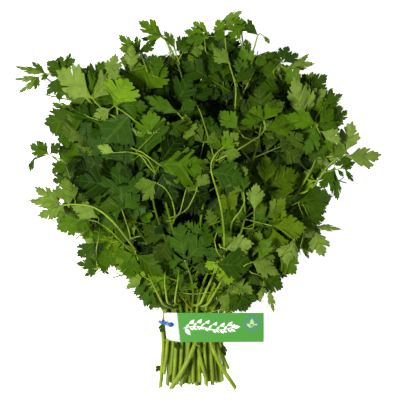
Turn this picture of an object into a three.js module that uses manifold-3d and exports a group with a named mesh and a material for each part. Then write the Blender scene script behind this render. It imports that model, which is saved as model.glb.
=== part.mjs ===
// A cut bunch of flat-leaf parsley, lying on its side.
// Leafy stalks are gathered by a tie band, with a card label threaded on the band.
// Millimetres. +Y runs from the cut ends to the leaf tips, +Z is up, the surface is z = 0.
import * as THREE from "three";
import Module from "manifold-3d";
import { mergeVertices } from "three/addons/utils/BufferGeometryUtils.js";

const wasm = await Module();
wasm.setup();

// ---------------------------------------------------------------- driving dimensions
const TIE = { x: -6, y: -108.5, z: 16.7 }; // middle of the gathered stalks
const STALK_PITCH = 4.9; // side by side, inside the tie
const ROW_PITCH = 4.4; // row above row, inside the tie
const ROW_COUNTS = [5, 8, 11, 10, 7, 2]; // stalks in each row, lowest first
const STALK_RADIUS = { thin: 1.6, thick: 1.95, neck: 0.9 };
const STALK_SIDES = 5;
const STALK_STEPS = 7;
const CUT_Y = { short: -151, long: -163.5 }; // where the stalks were cut
const CUT_SPREAD = 1.17; // the cut ends splay out below the tie
const CUT_SINK = 3.2; // the cut ends sag by this much
const BRANCH_WIDTH = 1.7;
const BLADE_THICKNESS = 0.7;
const BLADE_ARCH = 0.16; // rise of the arch, as a share of the blade's length
const BLADE_FOLD = 0.9; // drop of the sides from the rib, as a share of the arch
const CLEARANCE = 0.35; // between one stalk's foliage and the next
const STALK_CHOICES = 80; // how many ways a stalk may bend to keep clear
const BLADE_CHOICES = 30; // how many ways a side blade may be turned to keep clear

const BAND = { halfWidth: 28.2, halfHeight: 15.7, thickness: 1.2, width: 2.2 };
const LABEL = {
  left: -31.5, right: 55.8, top: -98.6, bottom: -124.2, thickness: 0.6,
  height: 17.1, // above the middle of the tie
  bendFrom: -18, bend: 0.03, // left of bendFrom the card curls down
  tabEnd: -21, tabBottom: -122.2, corner: 2.2, slant: 2, // the tab's lower corner is further right
  slot: { x: -24.9, halfLength: 3.4, halfWidth: 2.2 },
};

// Each stalk: joint of its end blade (x, y, z), heading (degrees clockwise from +Y), leaflet
// length, and 1 where the blade shows its face or -1 where it shows its underside.
const STALKS = [
  // round the edge of the head
  [-135, 107, 42, -85, 24, -1],
  [-92, 89, 78, -20, 29, -1],
  [-71, 80, 92, 12, 26, 1],
  [-91, 69, 60, -90, 35, 1],
  [-129, 38, 38, -75, 21, 1],
  [-117, -3, 58, -82, 26, -1],
  [-102, -12, 34, -115, 23, 1],
  [-86, -47, 30, -125, 23, 1],
  [-57, -45, 66, -178, 26, 1],
  [-50, -66, 12, -130, 22, 1],
  [-52, 131, 42, -50, 24, 1],
  [-31, 141, 50, -70, 24, -1],
  [7, 144, 40, -70, 23, 1],
  [36, 146, 52, -35, 24, 1],
  [75, 112, 48, 35, 25, -1],
  [89, 95, 64, 40, 28, 1],
  [106, 77, 44, 48, 24, 1],
  [126, 41, 52, 62, 29, -1],
  [117, 23, 28, 150, 22, 1],
  [90, -1, 48, 80, 30, 1],
  [97, -25, 34, 120, 25, -1],
  [72, -49, 40, 105, 22, -1],
  [54, -66, 26, 125, 22, 1],
  // over the top
  [-54, 43, 96, -45, 38, 1],
  [-38, 40, 104, -8, 36, 1],
  [-34, 30, 114, 95, 37, 1],
  [-65, -7, 84, -35, 33, 1],
  [35, 8, 98, -60, 27, 1],
  [16, 41, 112, 40, 22, -1],
  [24, 116, 62, -95, 32, 1],
  [53, 70, 92, -5, 26, -1],
  [100, 63, 76, -100, 27, 1],
  [87, 69, 58, -5, 31, -1],
  [56, 10, 86, 60, 32, 1],
  [44, -53, 72, 20, 27, -1],
  [24, -50, 84, 175, 24, 1],
  [-13, -52, 76, -20, 32, 1],
  [-48, 92, 72, -25, 34, 1],
  // pressed flat on the surface, underneath
  [-70, 60, 0, -50, 34, 1],
  [75, 50, 0, 55, 34, 1],
  [8, 62, 0, 5, 36, 1],
  [-75, -10, 0, -95, 30, 1],
  [70, -30, 0, 100, 30, 1],
];
const FLAT_JOINT_HEIGHT = 1.0; // stalk axis over the surface where a blade lies flat

// Right half of a blade of three lobed leaflets, for a length of 1: across, ahead.
const HALF_OUTLINE = [
  [0.04, -0.05], [0.46, -0.11], [0.54, 0.09], [0.78, 0.36], [0.52, 0.37], [0.4, 0.52],
  [0.1, 0.24], [0.32, 0.6], [0.19, 0.7],
];
const BLADE_TIP = [0, 1];

// ---------------------------------------------------------------- small helpers
const degrees = (angle) => (angle * Math.PI) / 180; // to radians
const degreesOf = (radians) => (radians * 180) / Math.PI;
const vector = (x, y, z) => new THREE.Vector3(x, y, z);
const UP = vector(0, 0, 1);

// Repeatable draw from 0 to 1 for a stalk, one of its blades and a purpose.
function draw(stalk, blade, purpose) {
  const mixed = Math.sin(stalk * 12.9898 + blade * 78.233 + purpose * 37.719) * 43758.5453;
  return mixed - Math.floor(mixed);
}

const between = (low, high, share) => low + (high - low) * share;

// A closed three.js geometry as a solid.
function solidOf(geometry) {
  const bare = geometry.index ? geometry.toNonIndexed() : geometry.clone();
  bare.deleteAttribute("normal");
  bare.deleteAttribute("uv");
  const merged = mergeVertices(bare, 1e-4);
  return new wasm.Manifold(
    new wasm.Mesh({
      numProp: 3,
      vertProperties: merged.attributes.position.array,
      triVerts: new Uint32Array(merged.index.array),
    }),
  );
}

// A solid as a named mesh in the material's colour.
function meshOf(name, solid, material) {
  const { numProp, vertProperties, triVerts } = solid.getMesh();
  const positions = new Float32Array((vertProperties.length / numProp) * 3);
  for (let i = 0; i * numProp < vertProperties.length; i++)
    positions.set(vertProperties.subarray(i * numProp, i * numProp + 3), i * 3);
  const geometry = new THREE.BufferGeometry();
  geometry.setAttribute("position", new THREE.BufferAttribute(positions, 3));
  geometry.setIndex(new THREE.BufferAttribute(triVerts, 1));
  geometry.computeVertexNormals();
  const mesh = new THREE.Mesh(geometry, material);
  mesh.name = name;
  return mesh;
}

// Moves every vertex of a geometry by a rule.
function reshape(geometry, rule) {
  const position = geometry.attributes.position;
  const point = new THREE.Vector3();
  for (let i = 0; i < position.count; i++) {
    rule(point.fromBufferAttribute(position, i));
    position.setXYZ(i, point.x, point.y, point.z);
  }
  return geometry;
}

// A tapered round stalk bent along a curve.
function bentStalk(curve, rootRadius, tipRadius) {
  const straight = new THREE.CylinderGeometry(tipRadius, rootRadius, 1, STALK_SIDES, STALK_STEPS);
  return reshape(straight, (point) => {
    const share = point.y + 0.5;
    const tangent = curve.getTangent(share);
    const side = vector().crossVectors(tangent, UP).normalize();
    const above = vector().crossVectors(side, tangent);
    const offset = side.multiplyScalar(point.x).addScaledVector(above, point.z);
    point.copy(curve.getPoint(share)).add(offset);
  });
}

// A point on the middle line of a bent stalk, which is straight from ring to ring.
function axisPoint(curve, share) {
  const ring = Math.floor(share * STALK_STEPS);
  const next = curve.getPoint((ring + 1) / STALK_STEPS);
  return curve.getPoint(ring / STALK_STEPS).lerp(next, share * STALK_STEPS - ring);
}

// ---------------------------------------------------------------- stalks
// Where each stalk lies inside the tie: rows by how steeply it rises, then by direction.
function bundlePlaces() {
  const order = STALKS.map(([x, y, z], index) => {
    const reach = Math.hypot(x - TIE.x, y - TIE.y);
    const turn = Math.atan2(x - TIE.x, y - TIE.y) * (1 + 40 / reach);
    return { index, rise: (z - TIE.z) / reach, turn };
  }).sort((a, b) => a.rise - b.rise);
  const places = [];
  ROW_COUNTS.forEach((count, row) => {
    const height = (row - (ROW_COUNTS.length - 1) / 2) * ROW_PITCH;
    const inRow = order.splice(0, count).sort((a, b) => a.turn - b.turn);
    inRow.forEach(({ index }, place) => {
      places[index] = { across: (place - (count - 1) / 2) * STALK_PITCH, height, row };
    });
  });
  return places;
}

// Curves a stalk may follow from its cut end, through the tie, to the joint of its end
// blade: the straightest one first, then ones with a growing bow.
function stalkCurveChoices(number, { across, height, row }) {
  const [x, y, z, heading] = STALKS[number];
  const joint = vector(x, y, Math.max(z, FLAT_JOINT_HEIGHT));
  const tie = vector(TIE.x + across, TIE.y, TIE.z + height);
  const cut = vector(
    TIE.x + across * (row === ROW_COUNTS.length - 1 ? 4.6 : CUT_SPREAD),
    between(CUT_Y.long, CUT_Y.short, draw(number, 0, 1) ** 2),
    TIE.z + height - CUT_SINK,
  );
  const length = joint.distanceTo(tie);
  const fan = vector().subVectors(joint, tie).normalize();
  const arrive = fan.lerp(headingVector(heading, 0), 0.45).normalize();
  return [...Array(STALK_CHOICES).keys()].map((choice) => {
    const loose = choice / (STALK_CHOICES - 1);
    const bow = vector(
      between(-30, 30, draw(number, 0, 100 + choice)) * loose,
      0,
      between(-30, 30, draw(number, 0, 200 + choice)) * loose * (z === 0 ? 0.2 : 1),
    );
    const leave = (0.3 + between(-0.22, 0.2, draw(number, 0, 300 + choice)) * loose) * length;
    const reach = (0.34 + between(-0.2, 0.2, draw(number, 0, 400 + choice)) * loose) * length;
    const leaving = tie.clone().add(vector(0, leave, 0)).addScaledVector(bow, 0.6);
    const arriving = joint.clone().addScaledVector(arrive, -reach).add(bow);
    const path = new THREE.CurvePath();
    path.add(new THREE.QuadraticBezierCurve3(cut, tie.clone().add(vector(0, -22, 0)), tie));
    path.add(new THREE.CubicBezierCurve3(tie, leaving, arriving, joint));
    return path;
  });
}

// Unit vector along a heading, clockwise from +Y, with a slope in degrees.
function headingVector(heading, slope) {
  const flat = Math.cos(degrees(slope));
  return vector(
    Math.sin(degrees(heading)) * flat,
    Math.cos(degrees(heading)) * flat,
    Math.sin(degrees(slope)),
  );
}

// ---------------------------------------------------------------- blades
// Outline of a blade, with its branch running back from the joint as a flat tail.
function bladeOutline(length, tail) {
  const half = HALF_OUTLINE.map(([across, ahead]) => [across * length, ahead * length]);
  if (tail > 0) half.unshift([BRANCH_WIDTH / 2, -tail]);
  const mirrored = [...half].reverse().map(([across, ahead]) => [-across, ahead]);
  const points = [...half, [0, length], ...mirrored];
  return points.map(([across, ahead]) => new THREE.Vector2(across, ahead));
}

// A thin arched blade whose joint is at a point, running ahead, its face along normal.
function blade({ joint, ahead, normal, length, arch, tail, tailRise = 0 }) {
  const shape = new THREE.Shape(bladeOutline(length, tail));
  const options = { depth: BLADE_THICKNESS, bevelEnabled: false };
  const flat = new THREE.ExtrudeGeometry(shape, options);
  const right = vector().crossVectors(ahead, normal);
  return reshape(flat, (point) => {
    const { x, y } = point;
    const onTail = y < -0.2 * length;
    const fall = arch * ((x * x + y * y) / length + BLADE_FOLD * Math.abs(x));
    const rise = point.z - BLADE_THICKNESS / 2 + (onTail ? tailRise : -fall);
    point.copy(joint).addScaledVector(right, x).addScaledVector(ahead, y);
    point.addScaledVector(normal, rise);
  });
}

// Face direction of a blade: up and outwards from the head, tilted by a draw.
const HEAD = { x: 0, y: 20, z: 20 };
function faceDirection(joint, ahead, side, tilt) {
  const outwards = vector(joint.x - HEAD.x, joint.y - HEAD.y, joint.z - HEAD.z).normalize();
  const normal = outwards.multiplyScalar(0.5).add(UP).add(tilt);
  normal.addScaledVector(ahead, -normal.dot(ahead)).normalize();
  return normal.multiplyScalar(side);
}

// The ways an end blade may be turned, the preferred one first.
function endBladeChoices(number) {
  const [x, y, z, heading, length, side] = STALKS[number];
  if (z === 0) {
    const joint = vector(x, y, BLADE_THICKNESS / 2);
    return [{ joint, ahead: headingVector(heading, 0), normal: UP, length, arch: 0, tail: 0 }];
  }
  const joint = vector(x, y, z);
  return [...Array(24).keys()].map((choice) => {
    const slope = between(-22, 8, draw(number, 1, 10 + choice)) - 0.8 * choice;
    const lean = 0.35 + 0.06 * choice;
    const tilt = vector(
      between(-lean, lean, draw(number, 1, 20 + choice)),
      between(-lean, lean, draw(number, 1, 30 + choice)),
      0,
    );
    const turn = between(-4 * choice, 4 * choice, draw(number, 1, 60 + choice));
    const ahead = headingVector(heading + turn, slope);
    const normal = faceDirection(joint, ahead, side, tilt);
    const size = length * (1 - 0.012 * choice);
    return { joint, ahead, normal, length: size, arch: BLADE_ARCH, tail: 0 };
  });
}

// The ways a side blade may be turned. hand is 1 to the right and -1 to the left.
function sideBladeChoices(number, hand, path) {
  const [, , z, , length, side] = STALKS[number];
  const key = 3 + hand;
  const back = between(20, 34, draw(number, key, 1)) + 0.2 * length;
  const share = 1 - back / path.getLength();
  const root = axisPoint(path, share);
  const tangent = path.getTangent(share);
  const along = degreesOf(Math.atan2(tangent.x, tangent.y));
  const size = length * between(0.72, 0.92, draw(number, key, 2));
  return [...Array(BLADE_CHOICES).keys()].map((choice) => {
    const turned = along + hand * between(30, 78, draw(number, key, 100 + choice));
    const reach = between(0.75, 1.2, draw(number, key, 200 + choice)) * (10 + 0.5 * length);
    if (z === 0) return lyingSideBlade(root, headingVector(turned, 0), reach, size);
    const ahead = headingVector(turned, between(-30, 28, draw(number, key, 300 + choice)));
    const joint = root.clone().addScaledVector(ahead, reach);
    const tilt = vector(
      between(-0.5, 0.5, draw(number, key, 400 + choice)),
      between(-0.5, 0.5, draw(number, key, 500 + choice)),
      0,
    );
    const normal = faceDirection(joint, ahead, side, tilt);
    return { joint, ahead, normal, length: size, arch: BLADE_ARCH, tail: reach };
  });
}

// A side blade pressed flat on the surface, its branch sloping down from the stalk.
function lyingSideBlade(root, ahead, reach, length) {
  const joint = root.clone().addScaledVector(ahead, reach).setZ(BLADE_THICKNESS / 2);
  return { joint, ahead, normal: UP, length, arch: 0, tail: reach, tailRise: root.z - joint.z };
}

// ---------------------------------------------------------------- keeping clear
// Solids already placed, each with the number of the stalk that it belongs to.
const placed = [];

function place(owner, solid) {
  const box = solid.boundingBox();
  placed.push({ owner, solid, box });
}

function boxesNear(a, b) {
  return [0, 1, 2].every(
    (axis) => a.min[axis] - CLEARANCE < b.max[axis] && b.min[axis] - CLEARANCE < a.max[axis],
  );
}

function isClear(owner, solid) {
  const box = solid.boundingBox();
  if (box.min[2] < 0) return false;
  return placed.every(
    (other) =>
      other.owner === owner ||
      !boxesNear(box, other.box) ||
      solid.minGap(other.solid, 2 * CLEARANCE) >= CLEARANCE,
  );
}

// ---------------------------------------------------------------- band and label
// Middle line of the tie band seen along the stalks: an oval that climbs through the
// label's slot and over its tab on the left. x and z from the middle of the tie.
function bandLine() {
  const points = [];
  for (let angle = -165; angle <= 105; angle += 15)
    points.push([
      BAND.halfWidth * Math.cos(degrees(angle)),
      BAND.halfHeight * Math.sin(degrees(angle)),
    ]);
  points.push([-13.2, 14], [-17, 14.8], [-20.6, 16.9], [-24.8, 15.8], [-28.6, 12], [-30.3, 6], [-29.2, 0]);
  const knots = points.map(([x, z]) => vector(x, z, 0));
  return new THREE.CatmullRomCurve3(knots, true, "centripetal");
}

function tieBand() {
  const line = bandLine();
  const count = 44;
  const outer = [];
  const inner = [];
  for (let i = 0; i < count; i++) {
    const point = line.getPointAt(i / count);
    const tangent = line.getTangentAt(i / count);
    const half = BAND.thickness / 2;
    outer.push(new THREE.Vector2(point.x + tangent.y * half, point.y - tangent.x * half));
    inner.push(new THREE.Vector2(point.x - tangent.y * half, point.y + tangent.x * half));
  }
  const shape = new THREE.Shape(outer);
  shape.holes.push(new THREE.Path(inner));
  const ring = new THREE.ExtrudeGeometry(shape, { depth: BAND.width, bevelEnabled: false });
  return reshape(ring, (point) => {
    point.set(TIE.x + point.x, TIE.y + BAND.width / 2 - point.z, TIE.z + point.y);
  });
}

// The card's outline with its slot, as a tall upright prism.
function cardOutline() {
  const { left, right, top, bottom, tabEnd, tabBottom, corner, slant, slot } = LABEL;
  const shape = new THREE.Shape();
  shape.moveTo(right, bottom);
  shape.lineTo(right, top);
  shape.lineTo(left + corner, top);
  shape.quadraticCurveTo(left, top, left, top - corner);
  shape.lineTo(left + slant, tabBottom + corner);
  shape.quadraticCurveTo(left + slant, tabBottom, left + slant + corner, tabBottom);
  shape.lineTo(tabEnd, tabBottom);
  shape.lineTo(tabEnd, bottom);
  const hole = new THREE.Path();
  hole.absellipse(slot.x, TIE.y, slot.halfLength, slot.halfWidth, 0, 2 * Math.PI, true);
  shape.holes.push(hole);
  const options = { depth: 60, bevelEnabled: false, curveSegments: 5 };
  return solidOf(new THREE.ExtrudeGeometry(shape, options));
}

function cardLabel() {
  const { left, right, top, bottom, thickness, height, bendFrom, bend } = LABEL;
  const sheet = new THREE.BoxGeometry(right - left, top - bottom, thickness, 30, 1, 1);
  sheet.translate((left + right) / 2, (top + bottom) / 2, TIE.z + height);
  reshape(sheet, (point) => {
    const past = Math.max(0, bendFrom - point.x);
    point.z -= bend * past * past;
  });
  return solidOf(sheet).intersect(cardOutline()).simplify(0.01);
}

// ---------------------------------------------------------------- assembly
const leafGreen = new THREE.MeshStandardMaterial({ color: 0x3f6b1f, roughness: 0.55, metalness: 0 });
const bandBlue = new THREE.MeshStandardMaterial({ color: 0x2f6aa8, roughness: 0.45, metalness: 0 });
const cardGreen = new THREE.MeshStandardMaterial({ color: 0x4fae3c, roughness: 0.5, metalness: 0 });

const bunch = new THREE.Group();
const label = cardLabel();
const band = solidOf(tieBand());
place("label", label);
place("band", band);

const places = bundlePlaces();
const paths = [];
const stalks = STALKS.map((_, number) => {
  const radius = between(STALK_RADIUS.thin, STALK_RADIUS.thick, draw(number, 0, 2));
  const found = stalkCurveChoices(number, places[number])
    .map((path) => ({ path, solid: solidOf(bentStalk(path, radius, STALK_RADIUS.neck)) }))
    .find(({ solid }) => isClear(number, solid));
  if (!found) throw new Error("stalk " + number + " finds no room");
  paths[number] = found.path;
  place(number, found.solid);
  return found.solid;
});

const whole = stalks.map((solid, number) => {
  const choices = endBladeChoices(number);
  const solids = choices.map((choice) => solidOf(blade(choice)));
  const index = solids.findIndex((candidate) => isClear(number, candidate));
  if (index < 0) throw new Error("end blade " + number + " finds no room");
  place(number, solids[index]);
  return solid.add(solids[index]);
});

whole.forEach((_, number) => {
  for (const hand of [-1, 1]) {
    const found = sideBladeChoices(number, hand, paths[number])
      .map((choice) => solidOf(blade(choice)))
      .find((candidate) => isClear(number, candidate));
    if (!found) continue; // no room for this blade
    place(number, found);
    whole[number] = whole[number].add(found);
  }
});

whole.forEach((solid, number) => {
  bunch.add(meshOf("leafy_stem_" + String(number + 1).padStart(2, "0"), solid, leafGreen));
});
bunch.add(meshOf("tie_band", band, bandBlue), meshOf("card_label", label, cardGreen));

// The origin is the middle of the whole bunch's box, on the surface.
const middle = new THREE.Box3().setFromObject(bunch).getCenter(vector());
bunch.position.set(-middle.x, -middle.y, 0);

export default bunch;
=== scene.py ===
"""A cut bunch of flat-leaf parsley, gathered by a blue tie with a card label, lying down."""

import math
from dataclasses import dataclass, field

import bmesh
import bpy
import numpy as np
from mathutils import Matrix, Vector
from mathutils.kdtree import KDTree


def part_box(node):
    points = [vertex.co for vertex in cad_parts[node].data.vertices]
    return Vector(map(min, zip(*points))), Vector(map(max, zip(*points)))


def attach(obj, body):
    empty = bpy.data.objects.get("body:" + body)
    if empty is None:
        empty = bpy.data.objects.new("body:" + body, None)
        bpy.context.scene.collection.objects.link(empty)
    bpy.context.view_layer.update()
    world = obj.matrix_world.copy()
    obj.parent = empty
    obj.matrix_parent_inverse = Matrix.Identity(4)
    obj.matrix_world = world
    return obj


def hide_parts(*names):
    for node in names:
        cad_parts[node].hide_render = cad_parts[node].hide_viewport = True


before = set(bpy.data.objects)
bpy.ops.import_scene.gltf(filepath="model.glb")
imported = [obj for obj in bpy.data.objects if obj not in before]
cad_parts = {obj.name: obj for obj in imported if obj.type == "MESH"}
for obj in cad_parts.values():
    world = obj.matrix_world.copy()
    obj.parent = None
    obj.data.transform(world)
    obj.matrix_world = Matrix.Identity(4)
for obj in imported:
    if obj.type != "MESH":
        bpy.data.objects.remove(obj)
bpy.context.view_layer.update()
for name in ("Cube", "Light", "Camera"):
    if name in bpy.data.objects:
        bpy.data.objects.remove(bpy.data.objects[name])

# ------------------------------------------------------------------ layout, in millimetres
# The part's source has the same sizes, but for the band's width and slope over the tab and the
# card's slot and tab edge, which are finer here. Its origin is then moved to the box's middle.
TIE = (-6.0, -108.5, 16.7)
STALK_PITCH, ROW_PITCH = 4.9, 4.4
ROW_COUNTS = [5, 8, 11, 10, 7, 2]
STALK_THIN, STALK_THICK, STALK_NECK = 1.6, 1.95, 0.9
STALK_STEPS = 7
CUT_SHORT, CUT_LONG = -151.0, -163.5
CUT_SPREAD, CUT_SINK = 1.17, 3.2
BLADE_THICKNESS, BLADE_ARCH, BLADE_FOLD = 0.7, 0.16, 0.9
STALK_CHOICES, END_CHOICES, SIDE_CHOICES = 80, 24, 30
FLAT_JOINT_HEIGHT = 1.0
HEAD = np.array([0.0, 20.0, 20.0])
UP = np.array([0.0, 0.0, 1.0])
BAND_HALF_WIDTH, BAND_HALF_HEIGHT, BAND_THICKNESS, BAND_WIDTH = 28.2, 15.7, 1.2, 2.6
BAND_TILT = math.radians(157)  # lays the band's width along the stalks, raised middle outwards
LABEL_LEFT, LABEL_RIGHT, LABEL_TOP, LABEL_BOTTOM = -31.5, 55.8, -98.6, -124.2
LABEL_HEIGHT, LABEL_BEND_FROM, LABEL_BEND, LABEL_THICKNESS = 17.1, -18.0, 0.03, 0.6
TAB_END, TAB_BOTTOM, TAB_CORNER, TAB_SLANT = -17.6, -122.2, 2.2, 2.0
SLOT_X, SLOT_Y, SLOT_HALF_LENGTH, SLOT_HALF_WIDTH = -25.3, -109.05, 2.6, 1.9
# Where the band comes up through the slot and goes over the tab: across, up and along.
BAND_RISE = [(-13.2, 14, 0), (-17, 14.8, -0.8), (-20.6, 16.9, -0.3), (-24.8, 15.8, 0.8),
             (-28.6, 12, 1.8), (-30.3, 6, 1.9), (-29.2, 0, 0.9)]
PRINT_START, PRINT_SLOPE = (-18.7, -111.0, 0.0), (0.994, 0.11, 0.0)
SPRIG_START, SPRIG_END, SPRIG_HEIGHT = -14.5, 29.0, -112.0
MARK, MARK_RADIUS = (45.4, -108.0), 7.2

# Joint of the end leaf (x, y, z), heading, leaf length, and 1 face up or -1 underside up.
STALKS = [
    # round the edge of the head
    (-135, 107, 42, -85, 24, -1),
    (-92, 89, 78, -20, 29, -1),
    (-71, 80, 92, 12, 26, 1),
    (-91, 69, 60, -90, 35, 1),
    (-129, 38, 38, -75, 21, 1),
    (-117, -3, 58, -82, 26, -1),
    (-102, -12, 34, -115, 23, 1),
    (-86, -47, 30, -125, 23, 1),
    (-57, -45, 66, -178, 26, 1),
    (-50, -66, 12, -130, 22, 1),
    (-52, 131, 42, -50, 24, 1),
    (-31, 141, 50, -70, 24, -1),
    (7, 144, 40, -70, 23, 1),
    (36, 146, 52, -35, 24, 1),
    (75, 112, 48, 35, 25, -1),
    (89, 95, 64, 40, 28, 1),
    (106, 77, 44, 48, 24, 1),
    (126, 41, 52, 62, 29, -1),
    (117, 23, 28, 150, 22, 1),
    (90, -1, 48, 80, 30, 1),
    (97, -25, 34, 120, 25, -1),
    (72, -49, 40, 105, 22, -1),
    (54, -66, 26, 125, 22, 1),
    # over the top
    (-54, 43, 96, -45, 38, 1),
    (-38, 40, 104, -8, 36, 1),
    (-34, 30, 114, 95, 37, 1),
    (-65, -7, 84, -35, 33, 1),
    (35, 8, 98, -60, 27, 1),
    (16, 41, 112, 40, 22, -1),
    (24, 116, 62, -95, 32, 1),
    (53, 70, 92, -5, 26, -1),
    (100, 63, 76, -100, 27, 1),
    (87, 69, 58, -5, 31, -1),
    (56, 10, 86, 60, 32, 1),
    (44, -53, 72, 20, 27, -1),
    (24, -50, 84, 175, 24, 1),
    (-13, -52, 76, -20, 32, 1),
    (-48, 92, 72, -25, 34, 1),
    # pressed flat on the surface, underneath
    (-70, 60, 0, -50, 34, 1),
    (75, 50, 0, 55, 34, 1),
    (8, 62, 0, 5, 36, 1),
    (-75, -10, 0, -95, 30, 1),
    (70, -30, 0, 100, 30, 1),
]


def draw(stem, blade, purpose):
    """Repeatable draw from 0 to 1 for a stem, one of its leaves and a purpose."""
    mixed = math.sin(stem * 12.9898 + blade * 78.233 + purpose * 37.719) * 43758.5453
    return mixed - math.floor(mixed)


def between(low, high, share):
    return low + (high - low) * share


def unit(v):
    return v / np.linalg.norm(v)


def squared(normal, ahead):
    """A leaf's face direction, turned square to the way that the leaf points."""
    return unit(normal - ahead * normal.dot(ahead))


def tilted(most, key, first, second):
    """A repeatable tilt of a leaf's face, by at most some amount each way."""
    return np.array([between(-most, most, draw(*key, first)),
                     between(-most, most, draw(*key, second)), 0])


def smoothed(points, times):
    """Evens out the inner points of a line or of its heights."""
    for _ in range(times):
        points[1:-1] = (points[:-2] + points[1:-1] * 2 + points[2:]) / 4
    return points


def heading_vector(heading, slope):
    """Unit vector along a heading, clockwise from +Y, with a slope in degrees."""
    h, s = math.radians(heading), math.radians(slope)
    return np.array([math.sin(h) * math.cos(s), math.cos(h) * math.cos(s), math.sin(s)])


low_corner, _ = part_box("card_label")
SHIFT = np.array([low_corner.x * 1000 - LABEL_LEFT, low_corner.y * 1000 - LABEL_BOTTOM, 0.0])


def metres(points):
    """Layout millimetres as metres in the part's frame."""
    return (np.asarray(points, float) + SHIFT) / 1000.0


class StalkPath:
    """The middle line of a stalk: cut end, tie, joint of the end leaf."""

    def __init__(self, cut, tie, leaving, arriving, joint):
        t = np.linspace(0, 1, 201)[:, None]
        self.curves = [(cut, tie + np.array([0, -22.0, 0]), tie), (tie, leaving, arriving, joint)]
        self.lengths = []
        for controls in self.curves:
            steps = np.linalg.norm(np.diff(self._bezier(controls, t), axis=0), axis=1)
            self.lengths.append(np.concatenate([[0], np.cumsum(steps)]))
        self.length = self.lengths[0][-1] + self.lengths[1][-1]

    @staticmethod
    def _bezier(c, t):
        if len(c) == 3:
            return (1 - t) ** 2 * c[0] + 2 * (1 - t) * t * c[1] + t**2 * c[2]
        return ((1 - t) ** 3 * c[0] + 3 * (1 - t) ** 2 * t * c[1]
                + 3 * (1 - t) * t**2 * c[2] + t**3 * c[3])

    def point(self, share):
        along = min(max(share, 0.0), 1.0) * self.length
        which = 0 if along <= self.lengths[0][-1] else 1
        along -= which * self.lengths[0][-1]
        t = np.interp(along, self.lengths[which], np.linspace(0, 1, 201))
        return self._bezier(self.curves[which], t)

    def tangent(self, share):
        return unit(self.point(min(share + 1e-4, 1)) - self.point(max(share - 1e-4, 0)))

    def axis_point(self, share):
        """A point on the line of straight steps from ring to ring."""
        ring = math.floor(share * STALK_STEPS)
        a, b = self.point(ring / STALK_STEPS), self.point((ring + 1) / STALK_STEPS)
        return a + (b - a) * (share * STALK_STEPS - ring)


def bundle_places():
    """Where each stalk lies inside the tie: across, height and row."""
    order = []
    for index, (x, y, z, *_) in enumerate(STALKS):
        reach = math.hypot(x - TIE[0], y - TIE[1])
        turn = math.atan2(x - TIE[0], y - TIE[1]) * (1 + 40 / reach)
        order.append(((z - TIE[2]) / reach, turn, index))
    order.sort(key=lambda item: item[0])
    places, start = {}, 0
    for row, count in enumerate(ROW_COUNTS):
        height = (row - (len(ROW_COUNTS) - 1) / 2) * ROW_PITCH
        in_row = sorted(order[start:start + count], key=lambda item: item[1])
        for place, (_, _, index) in enumerate(in_row):
            places[index] = ((place - (count - 1) / 2) * STALK_PITCH, height, row)
        start += count
    return places


def stalk_path(number, place, choice):
    across, height, row = place
    x, y, z, heading, _, _ = STALKS[number]
    joint = np.array([x, y, max(z, FLAT_JOINT_HEIGHT)], float)
    tie = np.array([TIE[0] + across, TIE[1], TIE[2] + height])
    spread = 4.6 if row == len(ROW_COUNTS) - 1 else CUT_SPREAD
    cut_y = between(CUT_LONG, CUT_SHORT, draw(number, 0, 1) ** 2)
    cut = np.array([TIE[0] + across * spread, cut_y, TIE[2] + height - CUT_SINK])
    length = np.linalg.norm(joint - tie)
    fan = unit(joint - tie)
    arrive = unit(fan + (heading_vector(heading, 0) - fan) * 0.45)
    loose = choice / (STALK_CHOICES - 1)
    bow = np.array([
        between(-30, 30, draw(number, 0, 100 + choice)) * loose,
        0,
        between(-30, 30, draw(number, 0, 200 + choice)) * loose * (0.2 if z == 0 else 1),
    ])
    leave = (0.3 + between(-0.22, 0.2, draw(number, 0, 300 + choice)) * loose) * length
    reach = (0.34 + between(-0.2, 0.2, draw(number, 0, 400 + choice)) * loose) * length
    leaving = tie + np.array([0, leave, 0]) + bow * 0.6
    return StalkPath(cut, tie, leaving, joint - arrive * reach + bow, joint)


@dataclass
class Blade:
    """One leaf of three leaflets: joint, direction, face, length, arch and its branch."""
    joint: np.ndarray
    ahead: np.ndarray
    normal: np.ndarray
    length: float
    arch: float
    root: np.ndarray = None
    key: tuple = (0, 0)
    small: bool = False

    def local(self, x, y, z=0.0):
        """Points of the arched blade, from across, ahead and height in millimetres."""
        x, y, z = np.broadcast_arrays(*(np.asarray(v, float) for v in (x, y, z)))
        fall = self.arch * ((x * x + y * y) / self.length + BLADE_FOLD * np.abs(x))
        right = np.cross(self.ahead, self.normal)
        return (self.joint + x[..., None] * right + y[..., None] * self.ahead
                + (z - fall)[..., None] * self.normal)


def face_direction(joint, ahead, side, tilt):
    normal = unit(joint - HEAD) * 0.5 + UP + tilt
    return squared(normal, ahead) * side


def end_blade(number, choice):
    x, y, z, heading, length, side = STALKS[number]
    if z == 0:
        joint = np.array([x, y, BLADE_THICKNESS / 2], float)
        return Blade(joint, heading_vector(heading, 0), UP, length, 0.0)
    slope = between(-22, 8, draw(number, 1, 10 + choice)) - 0.8 * choice
    lean = 0.35 + 0.06 * choice
    tilt = tilted(lean, (number, 1), 20 + choice, 30 + choice)
    turn = between(-4 * choice, 4 * choice, draw(number, 1, 60 + choice))
    ahead = heading_vector(heading + turn, slope)
    joint = np.array([x, y, z], float)
    normal = face_direction(joint, ahead, side, tilt)
    return Blade(joint, ahead, normal, length * (1 - 0.012 * choice), BLADE_ARCH)


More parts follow.
